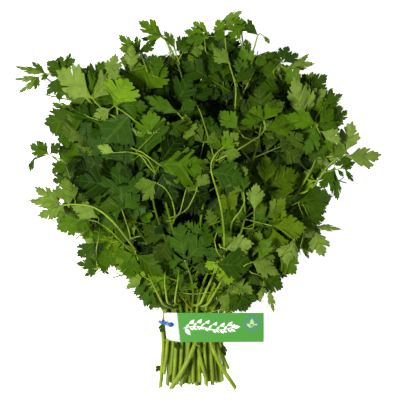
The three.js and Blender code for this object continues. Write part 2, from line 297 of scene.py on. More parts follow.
def side_blade(number, hand, path, choice):
    _, _, z, _, length, side = STALKS[number]
    key = 3 + hand
    back = between(20, 34, draw(number, key, 1)) + 0.2 * length
    share = 1 - back / path.length
    root, tangent = path.axis_point(share), path.tangent(share)
    along = math.degrees(math.atan2(tangent[0], tangent[1]))
    size = length * between(0.72, 0.92, draw(number, key, 2))
    turned = along + hand * between(30, 78, draw(number, key, 100 + choice))
    reach = between(0.75, 1.2, draw(number, key, 200 + choice)) * (10 + 0.5 * length)
    if z == 0:
        ahead = heading_vector(turned, 0)
        joint = root + ahead * reach
        joint[2] = BLADE_THICKNESS / 2
        return Blade(joint, ahead, UP, size, 0.0, root)
    ahead = heading_vector(turned, between(-30, 28, draw(number, key, 300 + choice)))
    joint = root + ahead * reach
    tilt = tilted(0.5, (number, key), 400 + choice, 500 + choice)
    normal = face_direction(joint, ahead, side, tilt)
    return Blade(joint, ahead, normal, size, BLADE_ARCH, root)


def node_tree(node):
    """The corners of a solid, in layout millimetres, for looking up the nearest one."""
    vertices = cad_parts[node].data.vertices
    tree = KDTree(len(vertices))
    for i, vertex in enumerate(vertices):
        tree.insert(Vector(np.array(vertex.co) * 1000 - SHIFT), i)
    tree.balance()
    return tree


def nearest(tree, points):
    return max(tree.find(Vector(p))[2] for p in points)


@dataclass
class Stem:
    """A leafy stem: its path, thickness and leaves."""
    number: int
    path: StalkPath
    radius: float
    blades: list = field(default_factory=list)
    extra: list = field(default_factory=list)


def read_stem(number, place):
    """The way this stem bends and turns its leaves, which is the way its solid does."""
    tree = node_tree(f"leafy_stem_{number + 1:02d}")
    radius = between(STALK_THIN, STALK_THICK, draw(number, 0, 2))

    def ring_corners(path):
        for share in (3 / STALK_STEPS, 4 / STALK_STEPS):
            tangent = path.tangent(share)
            above = np.cross(unit(np.cross(tangent, UP)), tangent)
            yield path.point(share) + above * (radius + (STALK_NECK - radius) * share)

    paths = [stalk_path(number, place, choice) for choice in range(STALK_CHOICES)]
    path = min(paths, key=lambda p: nearest(tree, ring_corners(p)))
    stem = Stem(number, path, radius)

    def tips(blade):
        return [blade.local(0, blade.length, h * BLADE_THICKNESS) for h in (-0.5, 0.5)]

    ends = [end_blade(number, c) for c in range(1 if STALKS[number][2] == 0 else END_CHOICES)]
    stem.blades.append(min(ends, key=lambda b: nearest(tree, tips(b))))
    for hand in (-1, 1):
        sides = [side_blade(number, hand, path, choice) for choice in range(SIDE_CHOICES)]
        best = min(sides, key=lambda b: nearest(tree, tips(b)))
        if nearest(tree, tips(best)) < 0.2:
            stem.blades.append(best)
    for i, blade in enumerate(stem.blades):
        blade.key = (number, i)
    return stem



# ------------------------------------------------------------------ helpers for modelling
def deselect():
    bpy.ops.object.select_all(action="DESELECT")


def focus(*pieces):
    """Only these pieces selected, the first one active."""
    deselect()
    for piece in pieces:
        piece.select_set(True)
    bpy.context.view_layer.objects.active = pieces[0]
    return pieces[0]


def apply_modifier(piece, kind, **settings):
    focus(piece)
    modifier = piece.modifiers.new(kind.title(), kind)
    for key, value in settings.items():
        setattr(modifier, key, value)
    bpy.ops.object.modifier_apply(modifier=modifier.name)


def corners(piece):
    """The places of a mesh's points as an array."""
    values = np.zeros(len(piece.data.vertices) * 3)
    piece.data.vertices.foreach_get("co", values)
    return values.reshape(-1, 3)


def place_corners(piece, points):
    piece.data.vertices.foreach_set("co", np.asarray(points, float).ravel())
    piece.data.update()


def face_value(piece, name, value):
    """A number kept on every face, which the materials read."""
    mesh = piece.data
    attribute = mesh.attributes.get(name) or mesh.attributes.new(name, "FLOAT", "FACE")
    attribute.data.foreach_set("value", np.broadcast_to(value, len(mesh.polygons)).copy())


def join_as(pieces, name, material):
    """Joins pieces into one object with its place in its mesh."""
    piece = focus(*pieces)
    if len(pieces) > 1:
        bpy.ops.object.join()
    bpy.ops.object.transform_apply(location=True, rotation=True, scale=True)
    piece.name = piece.data.name = name
    piece.data.materials.clear()
    piece.data.materials.append(material)
    return piece


def keep(piece, slot, *nodes):
    """The piece rides on the part and stands for solids; the slot is not used."""
    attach(piece, "root")
    if nodes:
        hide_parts(*nodes)


# ------------------------------------------------------------------ materials
def linear(red, green, blue):
    """An 8-bit sRGB colour as Blender's linear colour."""
    def channel(value):
        value /= 255
        return value / 12.92 if value <= 0.04045 else ((value + 0.055) / 1.055) ** 2.4
    return (channel(red), channel(green), channel(blue), 1.0)


class Nodes:
    """Short calls for adding shader nodes to a tree."""

    def __init__(self, tree):
        self.tree = tree

    def add(self, kind, values=None, **settings):
        node = self.tree.nodes.new(kind)
        for key, value in settings.items():
            setattr(node, key, value)
        for key, value in (values or {}).items():
            self.feed(node.inputs[key], value)
        return node

    def feed(self, socket, value):
        if isinstance(value, bpy.types.NodeSocket):
            self.tree.links.new(value, socket)
        else:
            socket.default_value = value

    def math(self, operation, *values, clamp=False):
        return self.add("ShaderNodeMath", dict(enumerate(values)), operation=operation,
                        use_clamp=clamp).outputs[0]

    def mix(self, share, first, second, blend="MIX"):
        node = self.add("ShaderNodeMix", data_type="RGBA", blend_type=blend)
        for socket, value in ((0, share), (6, first), (7, second)):
            self.feed(node.inputs[socket], value)
        return node.outputs[2]

    def smooth(self, value, low, high):
        """0 below low, 1 above high, smooth between them."""
        return self.add("ShaderNodeMapRange", {0: value, 1: low, 2: high},
                        interpolation_type="SMOOTHSTEP").outputs[0]

    def ramp(self, share, stops):
        node = self.add("ShaderNodeValToRGB", {0: share})
        elements = node.color_ramp.elements
        while len(elements) < len(stops):
            elements.new(0.5)
        for element, (place, colour) in zip(elements, stops):
            element.position, element.color = place, colour
        return node.outputs[0]

    def attribute(self, name):
        return self.add("ShaderNodeAttribute", attribute_name=name).outputs["Fac"]


def new_group(name, inputs, outputs):
    group = bpy.data.node_groups.new(name, "ShaderNodeTree")
    for label, kind, default in inputs:
        socket = group.interface.new_socket(label, in_out="INPUT", socket_type=kind)
        if default is not None:
            socket.default_value = default
    for label, kind in outputs:
        group.interface.new_socket(label, in_out="OUTPUT", socket_type=kind)
    nodes = Nodes(group)
    return group, nodes, nodes.add("NodeGroupInput").outputs, nodes.add("NodeGroupOutput").inputs


def mottle_group():
    """Uneven living colour: soft blotches and fine grain, as a colour and a height."""
    group, n, given, out = new_group(
        "mottle",
        [("Colour", "NodeSocketColor", None), ("Darker", "NodeSocketColor", None),
         ("Blotch Scale", "NodeSocketFloat", 60.0), ("Grain Scale", "NodeSocketFloat", 900.0),
         ("Amount", "NodeSocketFloat", 0.5)],
        [("Colour", "NodeSocketColor"), ("Height", "NodeSocketFloat")])
    where = n.add("ShaderNodeTexCoord").outputs["Object"]
    blotch = n.add("ShaderNodeTexNoise", {"Vector": where, "Scale": given["Blotch Scale"],
                                          "Detail": 3.0, "Roughness": 0.6}).outputs[0]
    grain = n.add("ShaderNodeTexNoise", {"Vector": where, "Scale": given["Grain Scale"],
                                         "Detail": 2.0}).outputs[0]
    share = n.smooth(n.math("ADD", n.math("MULTIPLY", blotch, 0.75),
                            n.math("MULTIPLY", grain, 0.25)), 0.36, 0.64)
    share = n.math("MULTIPLY", share, given["Amount"])
    n.feed(out["Colour"], n.mix(share, given["Colour"], given["Darker"]))
    n.feed(out["Height"], grain)
    return group


def new_material(name, **settings):
    material = bpy.data.materials.new(name)
    material.use_nodes = True
    nodes = Nodes(material.node_tree)
    shader = material.node_tree.nodes["Principled BSDF"]
    for key, value in settings.items():
        shader.inputs[key.replace("_", " ")].default_value = value
    return material, nodes, shader


def mottled(n, group, colour, darker, blotch, grain, amount):
    node = n.add("ShaderNodeGroup", node_tree=group)
    for key, value in (("Colour", colour), ("Darker", darker), ("Blotch Scale", blotch),
                       ("Grain Scale", grain), ("Amount", amount)):
        n.feed(node.inputs[key], value)
    return node.outputs


def leaf_material(mottle):
    """Upper face dark and satin with pale sunken veins, underside pale with raised veins."""
    material, n, shader = new_material("parsley_leaf", Roughness=0.5, Specular_IOR_Level=0.05)
    uv = n.add("ShaderNodeSeparateXYZ", {0: n.add("ShaderNodeUVMap").outputs[0]})
    across, along = uv.outputs[0], uv.outputs[1]
    from_rib = n.math("ABSOLUTE", n.math("SUBTRACT", across, 0.5))
    under, tone, age = (n.attribute(key) for key in ("under", "tone", "age"))

    rib = n.math("SUBTRACT", 1.0, n.smooth(from_rib, 0.012, 0.05))
    # a side vein runs to every tooth: one for each pair of rows
    step = n.math("FRACT", n.math("MULTIPLY", along, VEINS))
    off_vein = n.math("ABSOLUTE", n.math("SUBTRACT", step, 0.5))
    side = n.math("SUBTRACT", 1.0, n.smooth(off_vein, 0.03, 0.13))
    side = n.math("MULTIPLY", side, n.math("SUBTRACT", 1.0, n.smooth(from_rib, 0.3, 0.5)))
    vein = n.math("MAXIMUM", rib, n.math("MULTIPLY", side, 0.75))

    # the tone attribute holds each leaf's own lightness together with its painted light and shade
    upper = n.ramp(tone, LEAF_TONES)
    yellowed = n.math("MAXIMUM", n.math("MULTIPLY", age, 0.45), 0.0)
    upper = n.mix(yellowed, upper, linear(104, 122, 14))
    cooler = n.math("MAXIMUM", n.math("MULTIPLY", age, -0.32), 0.0)
    upper = n.mix(cooler, upper, linear(58, 94, 40))
    pale = n.ramp(tone, UNDER_TONES)
    base = n.mix(under, upper, pale)
    darker = n.mix(0.5, base, linear(16, 38, 2))
    uneven = mottled(n, mottle, base, darker, 170.0, 1500.0, 0.55)
    # the blade darkens between veins and lightens at them
    veined = n.mix(n.math("MULTIPLY", vein, 0.2), uneven["Colour"], n.mix(under, VEIN, VEIN_UNDER))
    n.feed(shader.inputs["Base Color"], veined)
    n.feed(shader.inputs["Roughness"],
           n.add("ShaderNodeMapRange", {0: n.math("ADD", n.math("MULTIPLY", under, 0.6),
                                                  n.math("MULTIPLY", uneven["Height"], 0.4)),
                                        3: 0.4, 4: 0.72}).outputs[0])
    # puffed between veins above, ridged along them below
    puff = n.math("MULTIPLY", vein, n.math("SUBTRACT", n.math("MULTIPLY", under, 2.0), 1.0))
    height = n.math("ADD", puff, n.math("MULTIPLY", uneven["Height"], 0.25))
    bump = n.add("ShaderNodeBump", {"Height": height, "Strength": 0.6, "Distance": 0.0005})
    n.feed(shader.inputs["Normal"], bump.outputs[0])
    return material


def stalk_material(mottle):
    """Grooved juicy stalk, paler and yellower towards the cut end, pale at the cut."""
    material, n, shader = new_material("parsley_stalk", Roughness=0.42, Specular_IOR_Level=0.28)
    uv = n.add("ShaderNodeSeparateXYZ", {0: n.add("ShaderNodeUVMap").outputs[0]})
    tone, cut = n.attribute("tone"), n.attribute("cut")
    place = n.add("ShaderNodeSeparateXYZ", {0: n.add("ShaderNodeTexCoord").outputs["Object"]})
    low = n.math("SUBTRACT", 1.0, n.smooth(place.outputs[1], -0.155, -0.02))
    # the tone attribute holds each stalk's own lightness, and on twigs also their painted light and
    # shade
    green = n.ramp(tone, STALK_TONES)
    green = n.mix(n.math("MULTIPLY", low, 0.55), green, linear(150, 170, 20))
    streak = n.add("ShaderNodeTexNoise", {
        "Vector": n.add("ShaderNodeCombineXYZ", {0: n.math("MULTIPLY", uv.outputs[1], 14.0),
                                                 1: n.math("MULTIPLY", uv.outputs[0], 1.2),
                                                 2: tone}).outputs[0],
        "Scale": 1.0, "Detail": 2.0}).outputs[0]
    green = n.mix(n.math("MULTIPLY", n.smooth(streak, 0.42, 0.7), 0.35), green,
                  linear(44, 70, 5))
    uneven = mottled(n, mottle, green, linear(48, 74, 8), 90.0, 1400.0, 0.4)
    flesh = n.ramp(n.smooth(uneven["Height"], 0.3, 0.7),
                   [(0.0, linear(176, 190, 110)), (1.0, linear(205, 205, 140))])
    n.feed(shader.inputs["Base Color"], n.mix(cut, uneven["Colour"], flesh))
    bump = n.add("ShaderNodeBump", {"Height": n.math("ADD", streak, n.math(
        "MULTIPLY", uneven["Height"], 0.5)), "Strength": 0.35, "Distance": 0.0004})
    n.feed(shader.inputs["Normal"], bump.outputs[0])
    return material


# Leaf colours from dark old leaves to the brightest young ones, and their undersides; the stops below
# TONE_FLOOR are painted shade for what lies deep in the bunch.
LEAF_TONES = [(0.0, linear(16, 35, 4)), (0.2, linear(31, 55, 5)), (0.44, linear(44, 72, 5)),
              (0.68, linear(61, 92, 6)), (0.88, linear(81, 115, 11)), (1.0, linear(108, 144, 26))]
UNDER_TONES = [(0.0, linear(18, 34, 4)), (0.2, linear(44, 64, 9)), (0.6, linear(86, 112, 32)),
               (1.0, linear(118, 142, 60))]
VEIN, VEIN_UNDER = linear(92, 124, 34), linear(126, 150, 66)
# Stalk colours; the stop below TONE_FLOOR is painted shade.
STALK_TONES = [(0.0, linear(22, 38, 4)), (0.2, linear(76, 104, 8)), (0.6, linear(102, 132, 14)),
               (1.0, linear(138, 164, 30))]
TONE_FLOOR = 0.2  # tones below this are painted shade for what lies in the depth of the bunch, down to zero

# How light each stem's leaves are, from 0, old and dark, to 1, young and bright; the stems pressed flat
# underneath are set darkest, as painted shade.
STEM_TONES = [
    0.45, 0.5, 0.4, 0.12, 0.4, 0.6, 0.35, 0.45, 0.45, 0.5, 0.7, 0.55, 0.45, 0.5, 0.4, 0.6, 0.4,
    0.7, 0.2, 0.3, 0.5, 0.5, 0.45, 0.3, 0.28, 0.1, 0.15, 0.5, 0.5, 0.4, 0.6, 0.5, 0.5, 0.55,
    0.35, 0.45, 0.4, 0.15, 0.1, 0.15, 0.1, 0.15, 0.12,
]

# ------------------------------------------------------------------ one leaflet
# Rows from base to tip of a leaflet one unit long: place on the rib, and the edge's
# distance from the rib and place along it. Every second row is the point of a tooth.
LEAF_ROWS = [
    (0.0, 0.012, 0.0), (0.06, 0.07, 0.13), (0.14, 0.175, 0.26), (0.24, 0.34, 0.42),
    (0.31, 0.285, 0.46), (0.38, 0.43, 0.61), (0.44, 0.335, 0.635), (0.50, 0.295, 0.75),
    (0.555, 0.16, 0.65), (0.63, 0.22, 0.80), (0.70, 0.16, 0.83), (0.78, 0.13, 0.935),
    (0.87, 0.055, 0.925), (1.0, 0.012, 1.0),
]
SINUS_ROW = 8  # the deep notch between a side lobe and the end lobe
# Rows of the fine leaflets that lie on top, with rounded teeth, and the vein at each row.
FINE_EDGE = [
    (0.012, 0.0), (0.05, 0.10), (0.12, 0.20), (0.22, 0.30), (0.32, 0.365), (0.375, 0.41),
    (0.365, 0.45), (0.315, 0.462), (0.40, 0.53), (0.455, 0.585), (0.445, 0.63), (0.37, 0.635),
    (0.385, 0.70), (0.36, 0.75), (0.31, 0.745), (0.265, 0.69), (0.165, 0.62), (0.21, 0.71),
    (0.24, 0.775), (0.22, 0.82), (0.17, 0.81), (0.175, 0.87), (0.145, 0.92), (0.10, 0.915),
    (0.07, 0.895), (0.05, 0.96), (0.012, 1.0),
]
FINE_RIB = [0.0] + list(np.linspace(0.03, 0.47, 15)) + [0.5] + list(np.linspace(0.53, 1.0, 10))
FINE_ROWS = [(rib, x, y) for rib, (x, y) in zip(FINE_RIB, FINE_EDGE)]
FINE_VEINS = [(0, 5, 9, 13, 16, 19, 23, 26), (0, 1.5, 2.5, 3.5, 4, 4.5, 5.5, 6.5)]
VEINS = 6.5
# How deep the notches go, how far the teeth stand out, and how broad each pattern is.
LEAFLET_KINDS = [(0.02, 0.0, 1.0), (0.07, 0.015, 1.05), (0.1, 0.03, 0.9), (-0.02, 0.01, 1.0),
                 (0.05, 0.035, 0.82), (0.08, 0.02, 0.95), (0.12, 0.045, 0.75), (0.0, 0.02, 1.1)]


def leaflet_pattern(name, row_places, shift_of, veins):
    """A toothed leaflet one unit long: base at the origin, tip along +Y, closed and thin."""
    rows = len(row_places) - 1
    deselect()
    bpy.ops.mesh.primitive_grid_add(x_subdivisions=2, y_subdivisions=rows, size=1,
                                    location=(0, 0.5, 0))
    leaf = bpy.context.object
    leaf.name = leaf.data.name = name
    bpy.ops.object.transform_apply(location=True)
    for loop, uv in zip(leaf.data.loops, leaf.data.uv_layers[0].data):
        row = loop.vertex_index // 3
        uv.uv.y = np.interp(row, *veins) / VEINS
    bpy.ops.object.mode_set(mode="EDIT")
    mesh = bmesh.from_edit_mesh(leaf.data)
    mesh.verts.ensure_lookup_table()
    for row, (rib, edge_x, edge_y) in enumerate(row_places):
        for column in range(3):
            for vertex in mesh.verts:
                vertex.select = vertex.index == row * 3 + column
            mesh.select_flush_mode()
            wide, ahead = shift_of(row, column) if 0 < row < rows else (0, 0)
            shift_x = (column - 1) * (max(edge_x + wide, 0.012) - 0.5)
            shift_y = (rib if column == 1 else edge_y + ahead) - row / rows
            bpy.ops.transform.translate(value=(shift_x, shift_y, 0))
    bpy.ops.mesh.select_all(action="DESELECT")
    bpy.ops.object.mode_set(mode="OBJECT")
    thick = leaf.vertex_groups.new(name="thick")
    thick.add([row * 3 + 1 for row in range(1, rows)], 1.0, "REPLACE")
    face_value(leaf, "under", 0.0)
    apply_modifier(leaf, "SOLIDIFY", thickness=0.022, offset=-1, vertex_group="thick",
                   thickness_vertex_group=0.0)
    leaf.vertex_groups.clear()
    bpy.ops.object.mode_set(mode="EDIT")
    bpy.ops.mesh.select_all(action="SELECT")
    bpy.ops.mesh.remove_doubles(threshold=0.0005)
    bpy.ops.object.mode_set(mode="OBJECT")
    bpy.ops.object.shade_smooth_by_angle(angle=math.radians(70))
    normals = np.array([face.normal.z for face in leaf.data.polygons])
    face_value(leaf, "under", (normals < 0).astype(float))
    return leaf


def plain_pattern(number):
    """A leaflet of few faces, for the hundreds of leaves in the depth of the bunch."""
    deep, point, broad = LEAFLET_KINDS[number]

    def shift_of(row, column):
        notch = deep * (row == SINUS_ROW) + point * (1 if row % 2 == 0 else -0.7) * (row > 2)
        wide = LEAF_ROWS[row][1] * (broad - 1) - notch + 0.035 * (draw(number, 60 + column, row) - 0.5)
        return wide, -0.6 * notch + 0.035 * (draw(number, 70 + column, row) - 0.5)

    veins = [range(len(LEAF_ROWS)), [row / 2 for row in range(len(LEAF_ROWS))]]
    return leaflet_pattern(f"leaflet_pattern_{number}", LEAF_ROWS, shift_of, veins)


def fine_pattern(number):
    """A leaflet with rounded teeth, for the few leaves that lie on top."""
    def shift_of(row, column):
        lobe = 0.06 * math.sin(row * 0.55 + 5 * draw(number, 80, column))
        deeper = -0.05 * draw(number, 81, column) * (row == 16)
        return FINE_EDGE[row][0] * lobe + deeper, 0.012 * (draw(number, 82 + column, row) - 0.5)

    return leaflet_pattern(f"fine_leaflet_pattern_{number}", FINE_ROWS, shift_of, FINE_VEINS)


@dataclass
class Leaflet:
    """Where one leaflet grows on a blade, and how it is turned and bent."""
    base: tuple
    turn: float
    length: float
    breadth: float = 1.0
    fold: float = 0.2
    droop: float = 0.15
    ruffle: float = 0.05
    roll: float = 0.0


def shade(tone):
    return min(max(TONE_FLOOR + (1 - TONE_FLOOR) * tone, 0), 1)


def grow_leaflet(patterns, blade, leaflet, seed, tone, age):
    """A copy of a leaflet pattern, bent into its place on a blade."""
    pattern = patterns[int(draw(*seed, 40) * len(patterns)) % len(patterns)]
    leaf = pattern.copy()
    leaf.data = pattern.data.copy()
    bpy.context.scene.collection.objects.link(leaf)
    x, y, z = corners(pattern).T
    half = np.sign(x)
    wider = between(-0.18, 0.18, draw(*seed, 41))
    across = x * leaflet.length * leaflet.breadth * (1 + wider * half)
    bend = between(-0.09, 0.09, draw(*seed, 42))
    across = across + bend * leaflet.length * y * y
    ahead = y * leaflet.length
    wave = np.sin(y * between(7, 12, draw(*seed, 43)) + 6.3 * draw(*seed, 44) + half * 1.3)
    rise = leaflet.fold * np.abs(x) + leaflet.ruffle * wave * np.minimum(np.abs(x) * 4, 1)
    rise = rise - leaflet.droop * y * y
    if blade.arch == 0:
        rise = np.abs(rise) * 0.6
        z = z + 0.011
    else:
        rise = rise + math.sin(leaflet.roll) * across / leaflet.length
        across = across * math.cos(leaflet.roll)
    angle = math.radians(leaflet.turn)
    blade_x = leaflet.base[0] + across * math.cos(angle) + ahead * math.sin(angle)
    blade_y = leaflet.base[1] - across * math.sin(angle) + ahead * math.cos(angle)
    height = (rise + z) * leaflet.length
    points = blade.local(blade_x, blade_y, height)
    points[:, 2] += max(FLOOR_GAP - points[:, 2].min(), 0) - max(points[:, 2].max() - CEILING, 0)
    place_corners(leaf, metres(points))
    face_value(leaf, "tone", shade(tone))
    face_value(leaf, "age", age)
    return leaf


# ------------------------------------------------------------------ stalks and branches
def tube_pattern(name, sides, steps, groove):
    """A straight grooved rod, one unit long and one in radius, with an inset ring on each flat end."""
    deselect()
    bpy.ops.mesh.primitive_cylinder_add(vertices=sides, radius=1, depth=1, location=(0, 0, 0.5))
    rod = bpy.context.object
    rod.name = rod.data.name = name
    bpy.ops.object.transform_apply(location=True)
    bpy.ops.object.mode_set(mode="EDIT")
    for step in range(1, steps):
        bpy.ops.mesh.select_all(action="SELECT")
        bpy.ops.mesh.bisect(plane_co=(0, 0, step / steps), plane_no=(0, 0, 1))
    mesh = bmesh.from_edit_mesh(rod.data)
    for face in mesh.faces:
        face.select = abs(face.normal.z) > 0.9
    bmesh.update_edit_mesh(rod.data)
    bpy.ops.mesh.inset(thickness=0.28)
    bpy.ops.object.mode_set(mode="OBJECT")
    points = corners(rod)
    turn = np.arctan2(points[:, 1], points[:, 0])
    ridge = 1 - groove * (0.5 - 0.5 * np.cos(turn * sides / 2))
    points[:, :2] *= ridge[:, None]
    place_corners(rod, points)
    face_value(rod, "cut", [float(abs(face.normal.z) > 0.9) for face in rod.data.polygons])
    face_value(rod, "tone", 0.5)
    bpy.ops.object.shade_smooth_by_angle(angle=math.radians(60))
    return rod


def run_along(pattern, line, radii, twist, tone, slant=0.0):
    """A copy of a rod, laid along points in millimetres, with a radius at each point."""
    rod = pattern.copy()
    rod.data = pattern.data.copy()
    bpy.context.scene.collection.objects.link(rod)
    line, radii = np.asarray(line, float), np.asarray(radii, float)
    along = np.linspace(0, 1, len(line))
    points = corners(rod)
    share = np.clip(points[:, 2], 0, 1)

    def at(s):
        return np.stack([np.interp(s, along, line[:, k]) for k in range(3)], axis=1)

    centre = at(share)
    ahead = at(np.minimum(share + 0.02, 1)) - at(np.maximum(share - 0.02, 0))
    ahead /= np.linalg.norm(ahead, axis=1)[:, None]
    right = np.cross(ahead, UP)
    right /= np.linalg.norm(right, axis=1)[:, None]
    above = np.cross(right, ahead)
    radius = np.interp(share, along, radii)
    turn = np.arctan2(points[:, 1], points[:, 0]) + twist * share
    reach = np.hypot(points[:, 0], points[:, 1]) * radius
    moved = centre + (reach * np.cos(turn))[:, None] * right + (reach * np.sin(turn))[:, None] * above
    if slant:
        first = share < 1e-4
        moved[first] += ahead[first] * (slant * reach[first] * np.cos(turn[first]))[:, None]
    place_corners(rod, metres(moved))
    face_value(rod, "tone", shade(tone))
    return rod


def bowed(start, end, sag, count=5):
    """Points from start to end that sag or rise in the middle."""
    t = np.linspace(0, 1, count)[:, None]
    return start + (end - start) * t + UP * sag * 4 * t * (1 - t)


# ------------------------------------------------------------------ the leaves of a stem
# Places below are counted in squares of 0.87 mm, across and down from the top left
# corner of a field of 400 by 400 squares over the bunch.
SQUARE, CEILING = 0.87, 118.5
FLOOR_GAP = 0.06  # no leaf comes closer to the surface, in millimetres
SPRAY_CEILING, SPRAY_STEPS = 114, 21
ROOF_REACH, ROOF_LOW = 34, 30
RIM_STEP, RIM_LAYERS, RIM_END = 11, (0, 1), -84
LOW_LEAF_END, LOW_LEAF_FLOOR = -88, 4
GAP_STEP = 3.0
# Painted light: leaves grow lighter towards +x, the side away from the key light. DARKEST and LIGHTEST
# bound the painted light and shade; below HOLLOW a place is painted as a dark hollow.
PAINTED_LIGHT_ACROSS, DARKEST, LIGHTEST, HOLLOW = 0.001, -0.75, 0.8, -0.28


def spot(across, down):
    """Layout millimetres of a place counted in squares."""
    return (across - 200) * SQUARE, (199 - down) * SQUARE


# The head seen from above: the leaves added to the stems are kept inside it.
HEAD_EDGE = [spot(*place) for place in [
    (52, 62), (60, 57), (74, 60), (70, 66), (62, 72), (66, 78), (84, 72), (98, 62), (110, 61),
    (118, 66), (124, 60), (121, 52), (130, 46), (140, 49), (147, 52), (148, 64), (158, 56),
    (170, 53), (178, 51), (184, 40), (192, 32), (202, 31), (217, 25), (224, 32), (236, 39),
    (246, 47), (252, 56), (262, 52), (279, 50), (281, 60), (290, 69), (304, 72), (316, 74),
    (318, 82), (326, 82), (320, 100), (328, 92), (337, 96), (334, 102), (340, 108), (346, 112),
    (344, 128), (332, 134), (333, 142), (341, 146), (345, 151), (334, 161), (322, 175),
    (316, 188), (328, 190), (334, 198), (331, 205), (325, 208), (323, 213), (324, 218),
    (318, 226), (327, 242), (320, 253), (310, 250), (299, 252), (296, 271), (288, 274),
    (281, 276), (281, 285), (271, 288), (266, 292), (258, 299), (251, 304), (248, 311),
    (157, 311), (150, 308), (144, 303), (138, 295), (134, 287), (128, 286), (129, 279),
    (123, 274), (115, 266), (107, 261), (107, 271), (100, 267), (90, 271), (79, 266), (90, 259),
    (81, 255), (88, 238), (80, 233), (70, 229), (63, 229), (62, 212), (58, 186), (54, 160),
    (60, 154), (53, 148), (58, 138), (48, 124), (53, 107), (72, 103), (77, 95), (64, 97),
    (56, 92), (60, 80),
]]
# Painted light and shade on the leaves: darker in the deep hollows where shade falls, lighter where the
# lamp light reaches them less; across, down, radius and lightness.
PAINTED_LIGHT_AND_SHADE = [
    (202, 202, 21, -0.65), (178, 188, 20, -0.6), (204, 90, 20, -0.4), (250, 103, 22, -0.65),
    (296, 80, 12, -0.6), (130, 100, 12, -0.25), (60, 190, 10, -0.2), (290, 150, 18, -0.8),
    (242, 164, 14, -0.25), (308, 156, 7, -0.4), (222, 192, 10, -0.3), (150, 180, 14, -0.35),
    (126, 164, 12, -0.35), (90, 176, 16, -0.5), (262, 272, 10, -0.4), (154, 230, 18, -0.6),
    (270, 96, 16, -0.25), (150, 116, 14, -0.45), (160, 146, 8, 0.2), (253, 84, 10, 0.4),
    (190, 138, 16, -0.35), (90, 108, 22, -0.2), (58, 186, 14, -0.3), (202, 260, 14, -0.7),
    (240, 238, 12, -0.3), (280, 226, 16, -0.4), (284, 250, 10, -0.3), (266, 270, 10, -0.2),
    (60, 140, 10, -0.2), (120, 214, 22, 0.4), (112, 256, 28, 0.55), (76, 230, 16, 0.6),
    (138, 284, 20, 0.5), (170, 286, 16, 0.35), (215, 284, 24, 0.3), (262, 288, 16, 0.3),
    (306, 240, 20, 0.5), (302, 206, 18, 0.55), (70, 150, 16, 0.7), (114, 66, 16, 0.7),
    (74, 70, 12, 0.5), (48, 118, 10, 0.4), (132, 132, 20, 0.1), (155, 144, 8, 0.4),
    (302, 122, 16, 0.3), (195, 218, 12, 0.2), (130, 68, 22, 0.6), (322, 100, 20, 0.8),
    (330, 138, 18, 0.8), (318, 224, 24, 0.6), (320, 184, 14, 0.5), (196, 122, 20, 0.3),
    (274, 60, 18, 0.4), (236, 257, 12, 0.35), (346, 118, 14, 0.5),
]


# Further places on the surface where low leaves, painted dark as shade, close the view to the floor.
GROUND_PLACES = [
    (146, 87), (154, 89), (170, 100), (176, 66), (217, 119), (207, 104), (233, 86), (235, 90),
    (176, 115), (172, 110), (178, 76),
]


def inside_head(x, y):
    inside = False
    for (ax, ay), (bx, by) in zip(HEAD_EDGE, HEAD_EDGE[1:] + HEAD_EDGE[:1]):
        if (ay > y) != (by > y) and x < ax + (y - ay) / (by - ay) * (bx - ax):
            inside = not inside
    return inside


def painted_light_and_shade_at(x, y):
    """Painted light and shade on the leaves at a place: how much lighter or darker than usual they are
    made.
    """
    total = PAINTED_LIGHT_ACROSS * x
    for across, down, radius, amount in PAINTED_LIGHT_AND_SHADE:
        a, b = spot(across, down)
        away = math.hypot(x - a, y - b) / (radius * SQUARE)
        total += amount * min(max(1.6 - away, 0), 0.6) / 0.6
    return min(max(total, DARKEST), LIGHTEST)


def leaflets_of(blade):
    """The three leaflets of a blade, as the solid's outline spreads them."""
    seed, length = blade.key, blade.length
    side = between(0.68, 0.9, draw(*seed, 81))
    spread = between(56, 76, draw(*seed, 82))
    end = between(0.88, 0.98, draw(*seed, 80))
    shapes = [Leaflet((0, (1.02 - end) * length), between(-10, 10, draw(*seed, 83)), end * length,
                      between(0.95, 1.15, draw(*seed, 86)))]
    for hand in (-1, 1):
        away = between(0.04, 0.12, draw(*seed, 87 + hand))
        shapes.append(Leaflet((hand * away * length, 0.02 * length), hand * spread,
                              side * length, between(0.9, 1.1, draw(*seed, 84 + hand))))
    for i, shape in enumerate(shapes):
        shape.fold = between(0.05, 0.42, draw(*seed, 90 + i))
        shape.droop = between(-0.02, 0.3, draw(*seed, 95 + i))
        shape.ruffle = between(0.02, 0.075, draw(*seed, 100 + i))
        shape.roll = math.radians(between(-38, 38, draw(*seed, 104 + i)))
    return shapes


